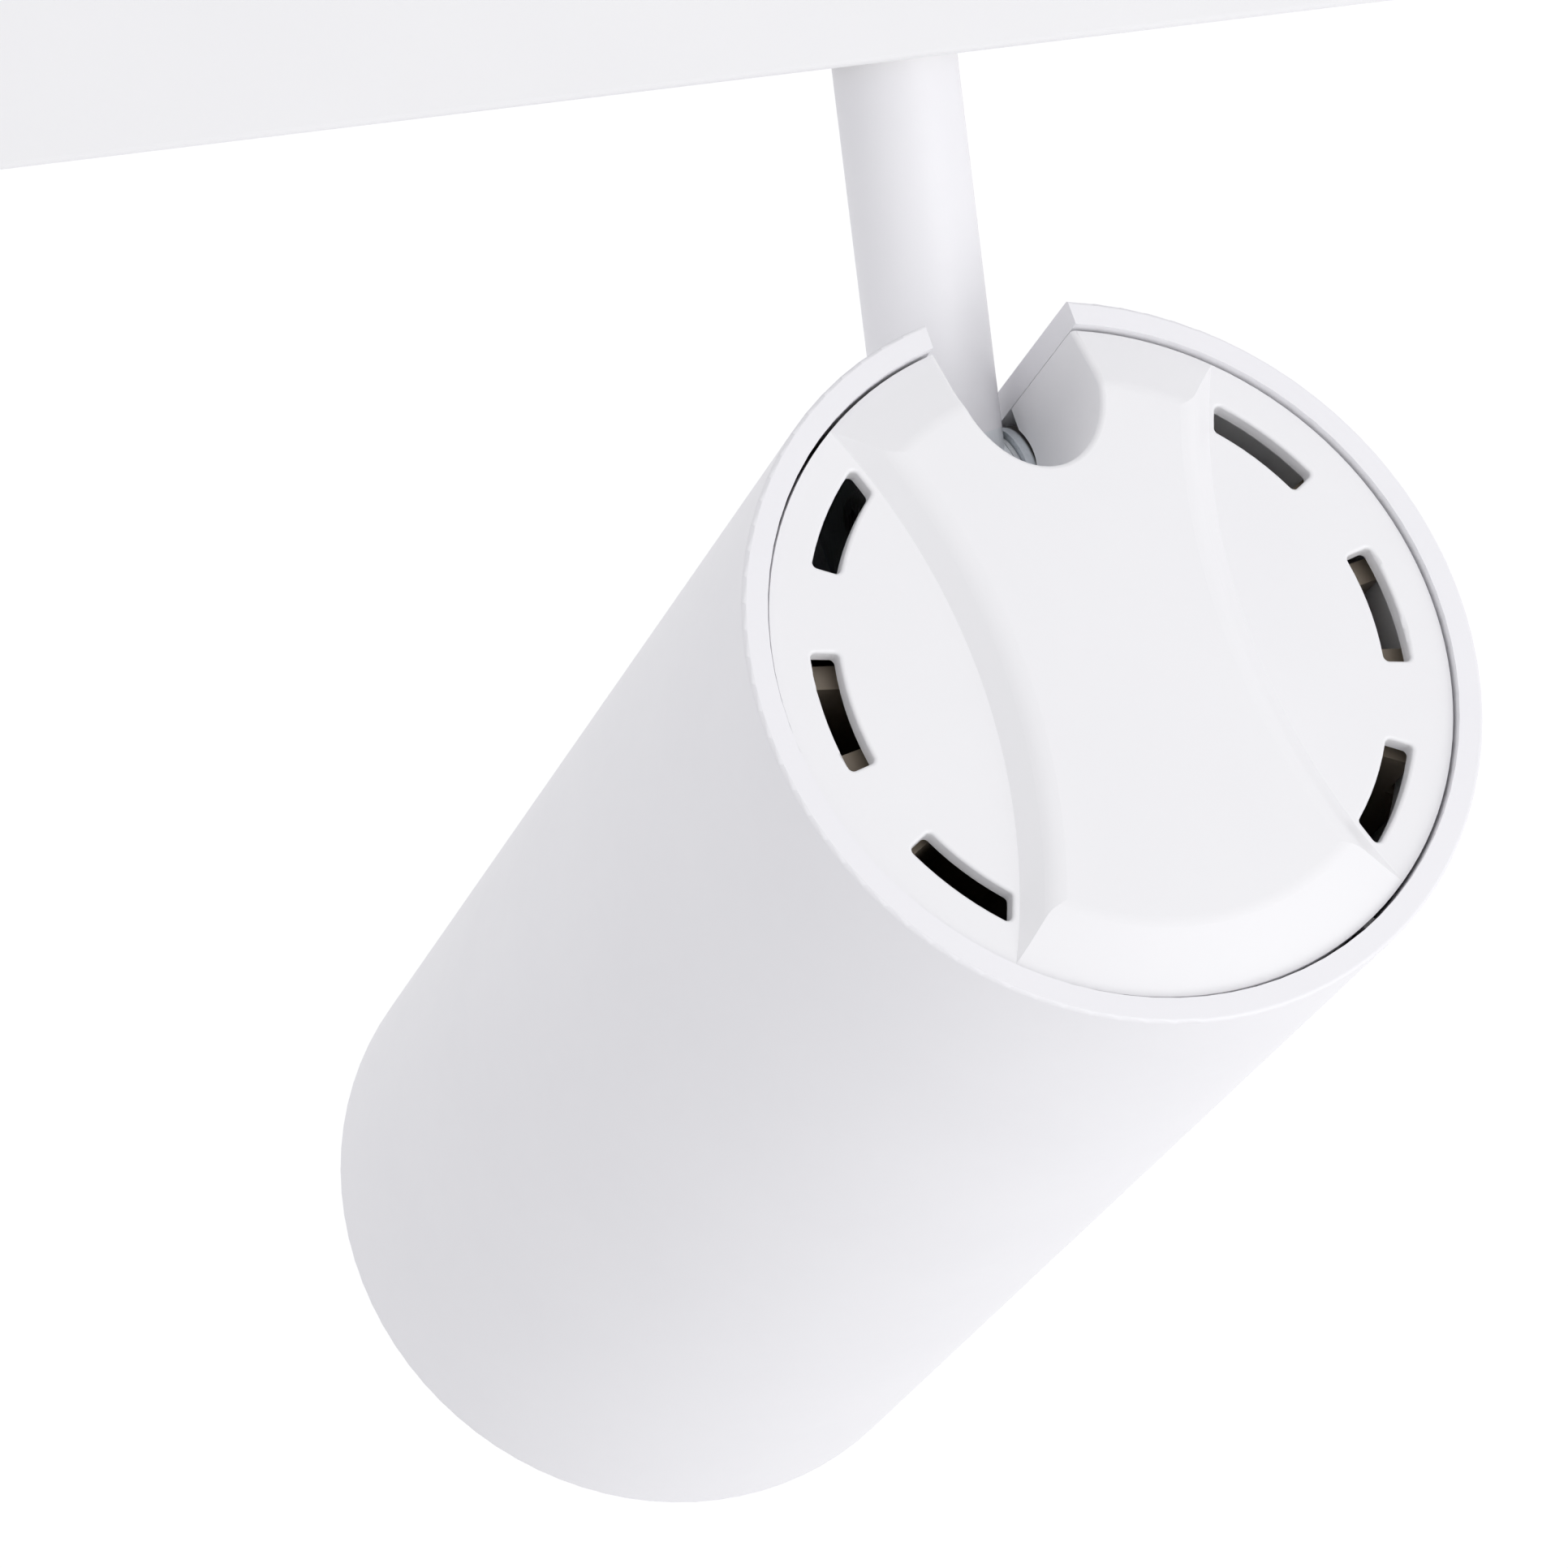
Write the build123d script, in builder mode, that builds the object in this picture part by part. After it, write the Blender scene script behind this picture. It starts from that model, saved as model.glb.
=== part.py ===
"""Magnetic track spotlight: a flat adapter that clings inside a low-voltage track, a turning
stem under it, and a cylindrical head hinged on the stem's foot through a slot in its back rim.

Row frame: the origin is the centre of the adapter's top face, on the stem's axis. +X runs along
the adapter, +Z up, and -Y is the side from which the lamp is usually seen.
The head is drawn in its own frame: z along its axis towards the back rim, whose centre is the
origin, y towards the slot, and x along the hinge pin. Depths count from the back rim forward.
"""

from math import hypot, radians, tan
import os

from build123d import *

os.makedirs("parts", exist_ok=True)

# Fits
fit_gap = 0.02  # threads, and pieces pressed or glued in place
running_gap = 0.05  # shafts in their bores, and faces that slide on each other
easy_gap = 0.1  # covers and inserts in their seats
body_gap = 0.3  # pieces that pass each other as a joint moves

# Resting pose: the beam's heading from +X, and its angle from straight down
aim_heading = 118.6
aim_tilt = 61.15
mid_heading = 90.0  # heading half-way between the two ends of the pan

# Adapter housing, an open-topped channel
adapter_length = 160.0
adapter_width = 24.0
adapter_height = 26.0
side_wall = 2.0
floor_wall = 2.0
ledge_width = 1.0
bottom_edge_radius = 0.6
end_cap_thickness = 2.0
end_plug_depth = 4.0
end_plug_wall = 1.6
end_cap_edge_radius = 0.6

# Adapter cover, with the magnets let into it
cover_thickness = 2.0
magnet_size = (20.0, 10.0, 4.0)
magnet_inset = 20.0  # from the adapter's end to a magnet's centre
keeper_thickness = 1.0
pocket_wall = 1.2

# Sprung contacts
magnet_to_contacts = 28.0
contact_pitch = 5.0
contact_count = 4
contact_block_size = (24.0, 10.0, 9.0)
contact_flange_width = 1.4
contact_flange_height = 1.6
contact_base_thickness = 1.0
contact_pin_radius = 1.0
contact_shoulder_radius = 1.5
contact_shoulder_height = 1.0
contact_throat = 2.9
contact_travel = 1.5
contact_stub = 0.5  # what still stands proud with a contact pressed home
contact_tail_length = 1.2
contact_spring_wire = 0.3

# Driver board and what stands on it, shifted along X from the board's centre
board_size = (56.0, 18.0, 1.6)
board_end_gap = 1.0
board_top = -17.0
board_hole_spacing = (40.0, 13.0)
board_post_radius = 2.3
board_screw_radius = 1.0
board_screw_head_radius = 1.9
board_screw_head_height = 1.2
board_screw_length = 4.5
inductor_radius = 6.0
inductor_height = 7.0
inductor_waist = 4.2
inductor_lip = 1.2
inductor_shift = 2.0
capacitor_radius = 3.15
capacitor_height = 8.0
capacitor_edge_radius = 0.45
capacitor_shift = 14.0
capacitor_spacing = 7.5
chip_size = (5.0, 6.0, 1.5)
chip_shift = -11.0
terminal_size = (4.6, 15.0, 5.0)
terminal_shift = -24.7

# Leads
lead_radius = 0.6
lead_bend = 3.0
lead_spread = 2.7  # from the stem's axis to each of its two leads
lead_channel_radius = 0.75
lead_arch = 4.45  # how far the stem's leads rise over the terminals
supply_lead_y = 6.0
supply_lead_splay = 10.5  # length along which the contacts' leads spread apart

# Stem and its bearing in the adapter's floor
stem_radius = 5.0
stem_wall = 1.0
stem_drop = 36.2  # from the adapter's underside down to the hinge
stem_flat = 4.6  # from the stem's axis to the flat that keys the stop washer
bushing_sleeve_radius = 6.5
bushing_flange_radius = 9.7
bushing_flange_height = 1.5
stop_peg_radius = 0.8
stop_peg_ring = 8.6
stop_peg_height = 0.8
stop_washer_radius = 7.4
stop_washer_height = 1.0
stop_tab_reach = 9.3
stop_tab_width = 2.0
spring_washer_radius = 7.6
spring_washer_thickness = 0.5
spring_washer_height = 0.9
stem_nut_flats = 14.0
stem_nut_height = 3.0
stem_above_nut = 1.5

# Hinge at the stem's foot
pin_radius = 1.5
eye_radius = 5.0
eye_width = 9.0
knuckle_shoulder = 6.0  # from the hinge up to the stem tube's lower end
knuckle_spigot = 10.0
friction_washer_thickness = 0.5
bracket_sheet = 1.5
bracket_ear_radius = 5.5
bracket_reach = 12.2  # from the hinge to the bracket's seat
bracket_foot_reach = 14.5
bracket_screw_x = 11.0
bracket_screw_shift = 1.7  # from the hinge's plane towards the head's axis
screw_radius = 1.5
screw_head_radius = 2.75
screw_head_height = 1.8
screw_head_round = 0.4  # rounding of any screw's head, as a share of the head's height
screw_length = 8.0
hinge_nut_flats = 5.5
hinge_nut_height = 2.4

# Head tube
head_radius = 30.0
head_length = 125.0
tube_wall = 2.0
rim_edge_radius = 0.3
pivot_depth = 19.0
pivot_inset = 6.5  # from the tube's inner wall to the hinge
slot_side_gap = 1.2
slot_end_gap = 1.0

# Back cap: two low lobes with vents, and a raised hourglass between them
cap_gap = 0.3
cap_inset = 0.6
cap_wall = 1.4
skirt_depth = 8.0
skirt_wall = 1.6
crown_height = 1.2  # above the rim
crown_slope = 5.3  # how far the hourglass's ends lean in from the cap's edge to its top
waist_half = 9.3  # half the hourglass's width at its top
foot_half = 11.5  # and at its foot
waist_centre = 62.5  # from the axis to the centre of the hourglass's hollow sides
crown_edge_radius = 2.5
crown_skin = 1.2
vent_rim = 3.05  # from the cap's edge to a vent
vent_width = 2.3
vent_sweep = 23.2
vent_angles = (50.0, 90.0, 130.0)
vent_corner = 0.45
vent_margin = 0.5
vent_edge_radius = 0.3
notch_side_gap = 0.95
notch_floor_gap = 0.9
notch_bow = 8.0
notch_edge_radius = 0.4
trough_wall = 1.5
trough_depth = 14.5
crush_rib_count = 6
crush_rib_width = 1.2
crush_rib_start = 3.0

# Heat sink
fin_count = 20
bare_fins = (7, 12)  # places in the ring of fins that stay empty
fin_thickness = 1.9
fin_gap = 0.4
fin_skirt_gap = 0.5
fin_tip_gap = 1.0  # from the cap's underside to the fins' tips
core_radius = 11.0
base_start = 62.0
base_end = 68.0
pocket_half = 19.6
pocket_gap = 0.9
pad_thickness = 5.5
lead_well_reach = 4.9  # from the holder's opening outwards
lead_well_radius = 1.8

# Light engine
led_board_side = 19.0
led_board_thickness = 1.6
emitter_radius = 7.0
emitter_thickness = 0.8
holder_radius = 20.0
holder_opening = 8.6
holder_height = 4.5
holder_lip = 1.6
holder_screw_x = 16.0
lead_groove_margin = 0.7
reflector_wall = 1.0
reflector_rim = 2.4  # from the tube's inner wall to the reflector's mouth
reflector_throat = 8.9
reflector_end = 101.4
reflector_bow = 3.0
reflector_flange = 1.2
reflector_edge_gap = 0.3
gasket_thickness = 0.8
gasket_width = 1.8
glass_thickness = 2.0
glass_edge_gap = 0.4
baffle_throat_wall = 4.0
baffle_mouth_wall = 1.8
baffle_groove_count = 7
baffle_groove_depth = 0.6
baffle_groove_slope = 0.85  # share of each groove's pitch that its long flank takes
baffle_recess = 0.4
baffle_lip = 1.2

# Places worked out from the sizes above
floor_top = -adapter_height + floor_wall
cavity_width = adapter_width - 2 * side_wall
housing_half = adapter_length / 2 - end_cap_thickness
magnet_x = adapter_length / 2 - magnet_inset
contact_x = magnet_to_contacts - magnet_x
board_x = housing_half - end_plug_depth - board_end_gap - board_size[0] / 2
inductor_x = board_x + inductor_shift
capacitor_x = board_x + capacitor_shift
chip_x = board_x + chip_shift
terminal_x = board_x + terminal_shift
tube_inner = head_radius - tube_wall
pivot_offset = tube_inner - pivot_inset
cap_radius = tube_inner - cap_gap
crown_radius = cap_radius - crown_slope
vent_outer = cap_radius - vent_rim
vent_inner = vent_outer - vent_width
contact_reach = contact_travel + contact_stub
slot_half = stem_radius + slot_side_gap
slot_end = pivot_depth + stem_radius + slot_end_gap
notch_half = stem_radius + notch_side_gap
notch_floor = pivot_offset - stem_radius - notch_floor_gap
bracket_seat = pivot_depth + bracket_reach
bracket_screw_y = pivot_offset - bracket_screw_shift
fin_radius = tube_inner - fin_gap
fin_tip_radius = cap_radius - skirt_wall - fin_skirt_gap
fin_shoulder = skirt_depth + fin_skirt_gap
fin_start = cap_inset + cap_wall + fin_tip_gap
lead_well_y = holder_opening + lead_well_reach
lead_groove_reach = lead_well_y + lead_well_radius + lead_groove_margin
pocket_floor = min(notch_floor - trough_wall, lead_well_y) - pocket_gap
reflector_mouth = tube_inner - reflector_rim
reflector_edge = tube_inner - reflector_edge_gap
baffle_throat = tube_inner - baffle_throat_wall
baffle_mouth = tube_inner - baffle_mouth_wall
ear_inner = eye_width / 2 + friction_washer_thickness + 2 * running_gap
ear_outer = ear_inner + bracket_sheet
flange_top = floor_top + bushing_flange_height
stop_washer_base = flange_top + running_gap
spring_washer_base = stop_washer_base + stop_washer_height
nut_base = spring_washer_base + spring_washer_height
stem_top = nut_base + stem_nut_height + stem_above_nut
glass_start = reflector_end + gasket_thickness
baffle_start = glass_start + glass_thickness

# Frames
pivot = Location((0, 0, -adapter_height - stem_drop))
heading = Rotation(0, 0, aim_heading - mid_heading)
stem = Plane(pivot * heading)
raised = Rotation(aim_tilt, 0, 0)
head = Plane(pivot * heading * raised * Location((0, -pivot_offset, pivot_depth)))
stem_side = Plane(origin=stem.origin, x_dir=stem.y_dir, z_dir=stem.x_dir)
head_side = Plane(origin=head.origin, x_dir=head.y_dir, z_dir=head.x_dir)
head_section = Plane(origin=head.origin, x_dir=head.x_dir, z_dir=-head.y_dir)
head_slot = Plane(origin=head.origin, x_dir=head.x_dir, z_dir=head.y_dir)
head_axis = Axis(head.origin, head.z_dir)
hinge_point = (pivot_offset, -pivot_depth)

pieces = {}


def at(depth):
    """Plane across the head, a depth forward of the back rim."""
    return head.offset(-depth)


def up_to(level):
    """Level plane under the adapter's top, turned with the stem."""
    return stem.offset(level - stem.origin.Z)


def head_point(x, y, depth):
    """Point of the head frame in the row frame."""
    return head.from_local_coords((x, y, -depth))


def stem_point(x, y, level):
    """Point beside the stem's axis, at a level of the row frame."""
    return stem.from_local_coords((x, y, level - stem.origin.Z))


def wire(points):
    """Round lead along straight runs joined by arcs, from its first point to its last."""
    with BuildPart() as lead:
        with BuildLine() as route:
            FilletPolyline(*points, radius=lead_bend)
        path = route.line
        with BuildSketch(Plane(origin=path @ 0, z_dir=path % 0)):
            Circle(lead_radius)
        sweep(path=path)
    return lead.part


def screw(plane, spots, shank, length, head_r, head_h):
    """Group of round-headed screws whose heads sit on a plane and whose shanks point below it."""
    with BuildPart() as group:
        with BuildSketch(plane):
            with Locations(*spots):
                Circle(shank)
        extrude(amount=-length)
        with BuildSketch(plane):
            with Locations(*spots):
                Circle(head_r)
        extrude(amount=head_h)
        tops = group.faces().sort_by(Axis(plane.origin, plane.z_dir))[-len(spots):]
        fillet(tops.edges(), head_h * screw_head_round)
    return group


# Adapter housing
post_height = board_top - board_size[2] - floor_top
with BuildPart() as adapter_housing:
    with BuildSketch(Plane.YZ) as channel:
        with Locations((0, -adapter_height / 2)):
            Rectangle(adapter_width, adapter_height)
        fillet(channel.vertices().group_by(Axis.Y)[0], bottom_edge_radius)
        with Locations((0, floor_top / 2)):
            Rectangle(cavity_width, -floor_top, mode=Mode.SUBTRACT)
        with Locations((0, -cover_thickness / 2)):
            Rectangle(cavity_width + 2 * ledge_width, cover_thickness, mode=Mode.SUBTRACT)
    extrude(amount=housing_half, both=True)
    with BuildSketch(Plane.XY.offset(-adapter_height)):
        Circle(bushing_sleeve_radius + fit_gap)
    extrude(amount=floor_wall, mode=Mode.SUBTRACT)
    with BuildSketch(Plane.XY.offset(floor_top)):
        with Locations((board_x, 0)):
            with GridLocations(*board_hole_spacing, 2, 2):
                Circle(board_post_radius)
                Circle(board_screw_radius + fit_gap, mode=Mode.SUBTRACT)
    extrude(amount=post_height)
pieces["adapter_housing"] = adapter_housing

# End caps: a plate across the channel and a hollow plug inside it
plug_width = cavity_width - 2 * easy_gap
plug_height = -floor_top - cover_thickness - 2 * easy_gap
plug_middle = (floor_top - cover_thickness) / 2
for name, side in (("end_cap_left", -1), ("end_cap_right", 1)):
    inner_face = Plane(origin=(side * housing_half, 0, 0), x_dir=(0, side, 0), z_dir=(side, 0, 0))
    with BuildPart() as end_cap:
        with BuildSketch(inner_face):
            with Locations((0, -adapter_height / 2)):
                Rectangle(adapter_width, adapter_height)
        extrude(amount=end_cap_thickness)
        outer = end_cap.faces().sort_by(Axis.X)[0 if side < 0 else -1]
        fillet(outer.edges(), end_cap_edge_radius)
        with BuildSketch(inner_face):
            with Locations((0, plug_middle)):
                Rectangle(plug_width, plug_height)
                Rectangle(plug_width - 2 * end_plug_wall, plug_height - 2 * end_plug_wall,
                          mode=Mode.SUBTRACT)
        extrude(amount=-end_plug_depth)
    pieces[name] = end_cap

# Cover, with a pocket round each magnet and a window for the contacts
magnet_spots = [(-magnet_x, 0), (magnet_x, 0)]
magnet_seat = [side + 2 * easy_gap for side in magnet_size[:2]]
pocket_depth = magnet_size[2] + keeper_thickness
window = [side + 2 * easy_gap for side in contact_block_size[:2]]
with BuildPart() as adapter_cover:
    with BuildSketch():
        Rectangle(2 * (housing_half - easy_gap), cavity_width + 2 * (ledge_width - easy_gap))
    extrude(amount=-cover_thickness)
    with BuildSketch(Plane.XY.offset(-cover_thickness)):
        with Locations(*magnet_spots):
            Rectangle(magnet_seat[0] + 2 * pocket_wall, magnet_seat[1] + 2 * pocket_wall)
    extrude(amount=cover_thickness - pocket_depth)
    with BuildSketch():
        with Locations(*magnet_spots):
            Rectangle(*magnet_seat)
    extrude(amount=-pocket_depth, mode=Mode.SUBTRACT)
    with BuildSketch():
        with Locations((contact_x, 0)):
            Rectangle(*window)
    extrude(amount=-cover_thickness, mode=Mode.SUBTRACT)
pieces["adapter_cover"] = adapter_cover

with BuildPart() as magnets:
    with BuildSketch():
        with Locations(*magnet_spots):
            Rectangle(*magnet_size[:2])
    extrude(amount=-magnet_size[2])
pieces["magnets"] = magnets

with BuildPart() as magnet_keepers:
    with BuildSketch(Plane.XY.offset(-magnet_size[2])):
        with Locations(*magnet_spots):
            Rectangle(*magnet_size[:2])
    extrude(amount=-keeper_thickness)
pieces["magnet_keepers"] = magnet_keepers

# Contact block, hung in the cover's window by its flange, and the base that closes its bores
contact_spots = [(contact_x + (i - (contact_count - 1) / 2) * contact_pitch, 0)
                 for i in range(contact_count)]
contact_bore = contact_shoulder_radius + running_gap
block_length, block_width, block_height = contact_block_size
with BuildPart() as contact_block:
    with BuildSketch():
        with Locations((contact_x, 0)):
            Rectangle(block_length, block_width)
    extrude(amount=-block_height)
    with BuildSketch(Plane.XY.offset(-cover_thickness)):
        with Locations((contact_x, 0)):
            Rectangle(block_length + 2 * contact_flange_width, block_width + 2 * contact_flange_width)
    extrude(amount=-contact_flange_height)
    with BuildSketch():
        with Locations(*contact_spots):
            Circle(contact_pin_radius + running_gap)
    extrude(amount=-contact_throat, mode=Mode.SUBTRACT)
    with BuildSketch(Plane.XY.offset(-contact_throat)):
        with Locations(*contact_spots):
            Circle(contact_bore)
    extrude(amount=contact_throat - block_height, mode=Mode.SUBTRACT)
pieces["contact_block"] = contact_block

with BuildPart() as contact_base:
    with BuildSketch(Plane.XY.offset(-block_height)):
        with Locations((contact_x, 0)):
            Rectangle(block_length, block_width)
    extrude(amount=-contact_base_thickness)
pieces["contact_base"] = contact_base

# Contact pins: a domed shank, a shoulder under the throat and a tail in the spring
shoulder_top = -contact_throat - running_gap
shoulder_base = shoulder_top - contact_shoulder_height
spring_outer = contact_shoulder_radius - running_gap
for number, (x, y) in enumerate(contact_spots, start=1):
    pin_section = Plane(origin=(x, y, 0), x_dir=(1, 0, 0), z_dir=(0, -1, 0))
    with BuildPart() as contact_pin:
        with BuildSketch(pin_section):
            with BuildLine():
                dome = contact_reach - contact_pin_radius
                Line((0, shoulder_base - contact_tail_length), (0, contact_reach))
                CenterArc((0, dome), contact_pin_radius, 0, 90)
                Polyline(
                    (contact_pin_radius, dome),
                    (contact_pin_radius, shoulder_top),
                    (contact_shoulder_radius, shoulder_top),
                    (contact_shoulder_radius, shoulder_base),
                    (spring_outer - contact_spring_wire - running_gap, shoulder_base),
                    (spring_outer - contact_spring_wire - running_gap,
                     shoulder_base - contact_tail_length),
                    (0, shoulder_base - contact_tail_length),
                )
            make_face()
        revolve(axis=Axis((x, y, 0), (0, 0, 1)))
    pieces[f"contact_pin_{number}"] = contact_pin

    with BuildPart() as contact_spring:
        with BuildSketch(Plane.XY.offset(-block_height)):
            with Locations((x, y)):
                Circle(spring_outer)
                Circle(spring_outer - contact_spring_wire, mode=Mode.SUBTRACT)
        extrude(amount=shoulder_base + block_height)
    pieces[f"contact_spring_{number}"] = contact_spring

# Driver board, its screws and components
board_base = Plane.XY.offset(board_top - board_size[2])
board_face = Plane.XY.offset(board_top)
with BuildPart() as driver_board:
    with BuildSketch(board_base):
        with Locations((board_x, 0)):
            Rectangle(*board_size[:2])
            with GridLocations(*board_hole_spacing, 2, 2):
                Circle(board_screw_radius + fit_gap, mode=Mode.SUBTRACT)
    extrude(amount=board_size[2])
pieces["driver_board"] = driver_board

board_screw_spots = [(board_x + i * board_hole_spacing[0] / 2, j * board_hole_spacing[1] / 2)
                     for i in (-1, 1) for j in (-1, 1)]
pieces["board_screws"] = screw(board_face, board_screw_spots, board_screw_radius,
                               board_screw_length, board_screw_head_radius,
                               board_screw_head_height)

with BuildPart() as driver_inductor:
    with BuildSketch(Plane.XZ):
        with BuildLine():
            Polyline(
                (inductor_x, board_top),
                (inductor_x + inductor_radius, board_top),
                (inductor_x + inductor_radius, board_top + inductor_lip),
                (inductor_x + inductor_waist, board_top + inductor_lip),
                (inductor_x + inductor_waist, board_top + inductor_height - inductor_lip),
                (inductor_x + inductor_radius, board_top + inductor_height - inductor_lip),
                (inductor_x + inductor_radius, board_top + inductor_height),
                (inductor_x, board_top + inductor_height),
                close=True,
            )
        make_face()
    revolve(axis=Axis((inductor_x, 0, 0), (0, 0, 1)))
pieces["driver_inductor"] = driver_inductor

with BuildPart() as driver_capacitors:
    with BuildSketch(board_face):
        with Locations((capacitor_x, 0)):
            with GridLocations(0, capacitor_spacing, 1, 2):
                Circle(capacitor_radius)
    extrude(amount=capacitor_height)
    fillet(driver_capacitors.faces().group_by(Axis.Z)[-1].edges(), capacitor_edge_radius)
pieces["driver_capacitors"] = driver_capacitors

with BuildPart() as driver_chip:
    with BuildSketch(board_face):
        with Locations((chip_x, 0)):
            Rectangle(*chip_size[:2])
    extrude(amount=chip_size[2])
pieces["driver_chip"] = driver_chip

with BuildPart() as driver_terminals:
    with BuildSketch(board_face):
        with Locations((terminal_x, 0)):
            Rectangle(*terminal_size[:2])
    extrude(amount=terminal_size[2])
pieces["driver_terminals"] = driver_terminals

# Bushing in the adapter's floor, with the peg that stops the pan
with BuildPart() as stem_bushing:
    with BuildSketch(Plane.XY.offset(-adapter_height)):
        Circle(bushing_sleeve_radius)
    extrude(amount=floor_wall)
    with BuildSketch(Plane.XY.offset(floor_top)):
        Circle(bushing_flange_radius)
    extrude(amount=bushing_flange_height)
    with BuildSketch(Plane.XY.offset(-adapter_height)):
        Circle(stem_radius + running_gap)
    extrude(amount=floor_wall + bushing_flange_height, mode=Mode.SUBTRACT)
    with BuildSketch(Plane.XY.offset(flange_top)):
        with Locations((0, stop_peg_ring)):
            Circle(stop_peg_radius)
    extrude(amount=stop_peg_height)
pieces["stem_bushing"] = stem_bushing

# Stop washer, keyed to the flat of the stem, whose tab meets the peg at both ends of the pan
with BuildSketch(mode=Mode.PRIVATE) as keyed_bore:
    Circle(stem_radius + fit_gap)
    with Locations((0, stem_flat + fit_gap + stem_radius / 2)):
        Rectangle(2 * stem_radius, stem_radius, mode=Mode.SUBTRACT)
with BuildPart() as stop_washer:
    with BuildSketch(up_to(stop_washer_base)):
        Circle(stop_washer_radius)
        with Locations((0, -stop_tab_reach / 2)):
            Rectangle(stop_tab_width, stop_tab_reach)
        add(keyed_bore.sketch, mode=Mode.SUBTRACT)
    extrude(amount=stop_washer_height)
pieces["stop_washer"] = stop_washer

# Dished spring washer under the nut
dish_inner = stem_radius + easy_gap
with BuildPart() as spring_washer:
    with BuildSketch(Plane.XZ):
        with BuildLine():
            Polyline(
                (dish_inner, spring_washer_base + spring_washer_height - spring_washer_thickness),
                (spring_washer_radius, spring_washer_base),
                (spring_washer_radius, spring_washer_base + spring_washer_thickness),
                (dish_inner, spring_washer_base + spring_washer_height),
                close=True,
            )
        make_face()
    revolve(axis=Axis.Z)
pieces["spring_washer"] = spring_washer

with BuildPart() as stem_nut:
    with BuildSketch(up_to(nut_base)):
        RegularPolygon(stem_nut_flats / 2, 6, major_radius=False)
        Circle(stem_radius + fit_gap, mode=Mode.SUBTRACT)
    extrude(amount=stem_nut_height)
pieces["stem_nut"] = stem_nut

# Stem tube, with the flat that keys the stop washer
stem_bottom = stem.origin.Z + knuckle_shoulder
with BuildPart() as stem_tube:
    with BuildSketch(up_to(stem_bottom)):
        Circle(stem_radius)
    extrude(amount=stem_top - stem_bottom)
    with BuildSketch(up_to(stop_washer_base)):
        with Locations((0, stem_flat + stem_radius / 2)):
            Rectangle(2 * stem_radius, stem_radius)
    extrude(amount=stem_top - stop_washer_base, mode=Mode.SUBTRACT)
    with BuildSketch(up_to(stem_bottom)):
        Circle(stem_radius - stem_wall)
    extrude(amount=stem_top - stem_bottom, mode=Mode.SUBTRACT)
pieces["stem_tube"] = stem_tube

# Knuckle: an eye round the hinge pin, a shoulder and a spigot in the stem tube
eye_clear = eye_radius + body_gap
with BuildPart() as stem_knuckle:
    with BuildSketch(stem_side):
        Circle(eye_radius)
    extrude(amount=eye_width / 2, both=True)
    with BuildSketch(stem):
        Circle(stem_radius)
        Rectangle(eye_width, 2 * stem_radius, mode=Mode.INTERSECT)
    extrude(amount=knuckle_shoulder)
    with BuildSketch(stem.offset(eye_clear)):
        Circle(stem_radius)
    extrude(amount=knuckle_shoulder - eye_clear)
    with BuildSketch(stem.offset(knuckle_shoulder)):
        Circle(stem_radius - stem_wall - fit_gap)
    extrude(amount=knuckle_spigot)
    with BuildSketch(stem_side):
        Circle(pin_radius + running_gap)
    extrude(amount=eye_width / 2, both=True, mode=Mode.SUBTRACT)
    with BuildSketch(stem.offset(-eye_radius)):
        with Locations((0, -lead_spread), (0, lead_spread)):
            Circle(lead_channel_radius)
    extrude(amount=eye_radius + knuckle_shoulder + knuckle_spigot, mode=Mode.SUBTRACT)
pieces["stem_knuckle"] = stem_knuckle

# Leads down the stem, trimmed to the eye's round foot
with BuildPart() as stem_leads:
    with BuildSketch(stem.offset(-eye_radius)):
        with Locations((0, -lead_spread), (0, lead_spread)):
            Circle(lead_radius)
    extrude(amount=stem_top - stem.origin.Z + eye_radius)
    with BuildSketch(stem_side):
        with Locations((0, -eye_radius)):
            Rectangle(2 * eye_radius, 2 * eye_radius)
        Circle(eye_radius, mode=Mode.SUBTRACT)
    extrude(amount=eye_width / 2, both=True, mode=Mode.SUBTRACT)
pieces["stem_leads"] = stem_leads

# Leads in the adapter: from the stem over to the terminals' top, and from the contacts' foot
# along to the terminals' side
terminal_face = terminal_x - terminal_size[0] / 2
terminal_top = board_top + terminal_size[2]
lead_entry = board_top + terminal_size[2] / 2
arch_level = terminal_top + lead_arch
with BuildPart() as driver_leads:
    for side in (-1, 1):
        start = stem_point(0, side * lead_spread, stem_top + running_gap)
        add(wire([
            start,
            (start.X, start.Y, arch_level),
            (terminal_x, side * lead_spread, arch_level),
            (terminal_x, side * lead_spread, terminal_top),
        ]))
pieces["driver_leads"] = driver_leads

contact_foot = -block_height - contact_base_thickness
contact_end = contact_spots[-1][0]
with BuildPart() as contact_leads:
    for side in (-1, 1):
        add(wire([
            (contact_end, side * contact_pitch / 2, contact_foot),
            (contact_end, side * contact_pitch / 2, lead_entry),
            (contact_end + supply_lead_splay, side * supply_lead_y, lead_entry),
            (terminal_face, side * supply_lead_y, lead_entry),
        ]))
pieces["contact_leads"] = contact_leads

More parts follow.
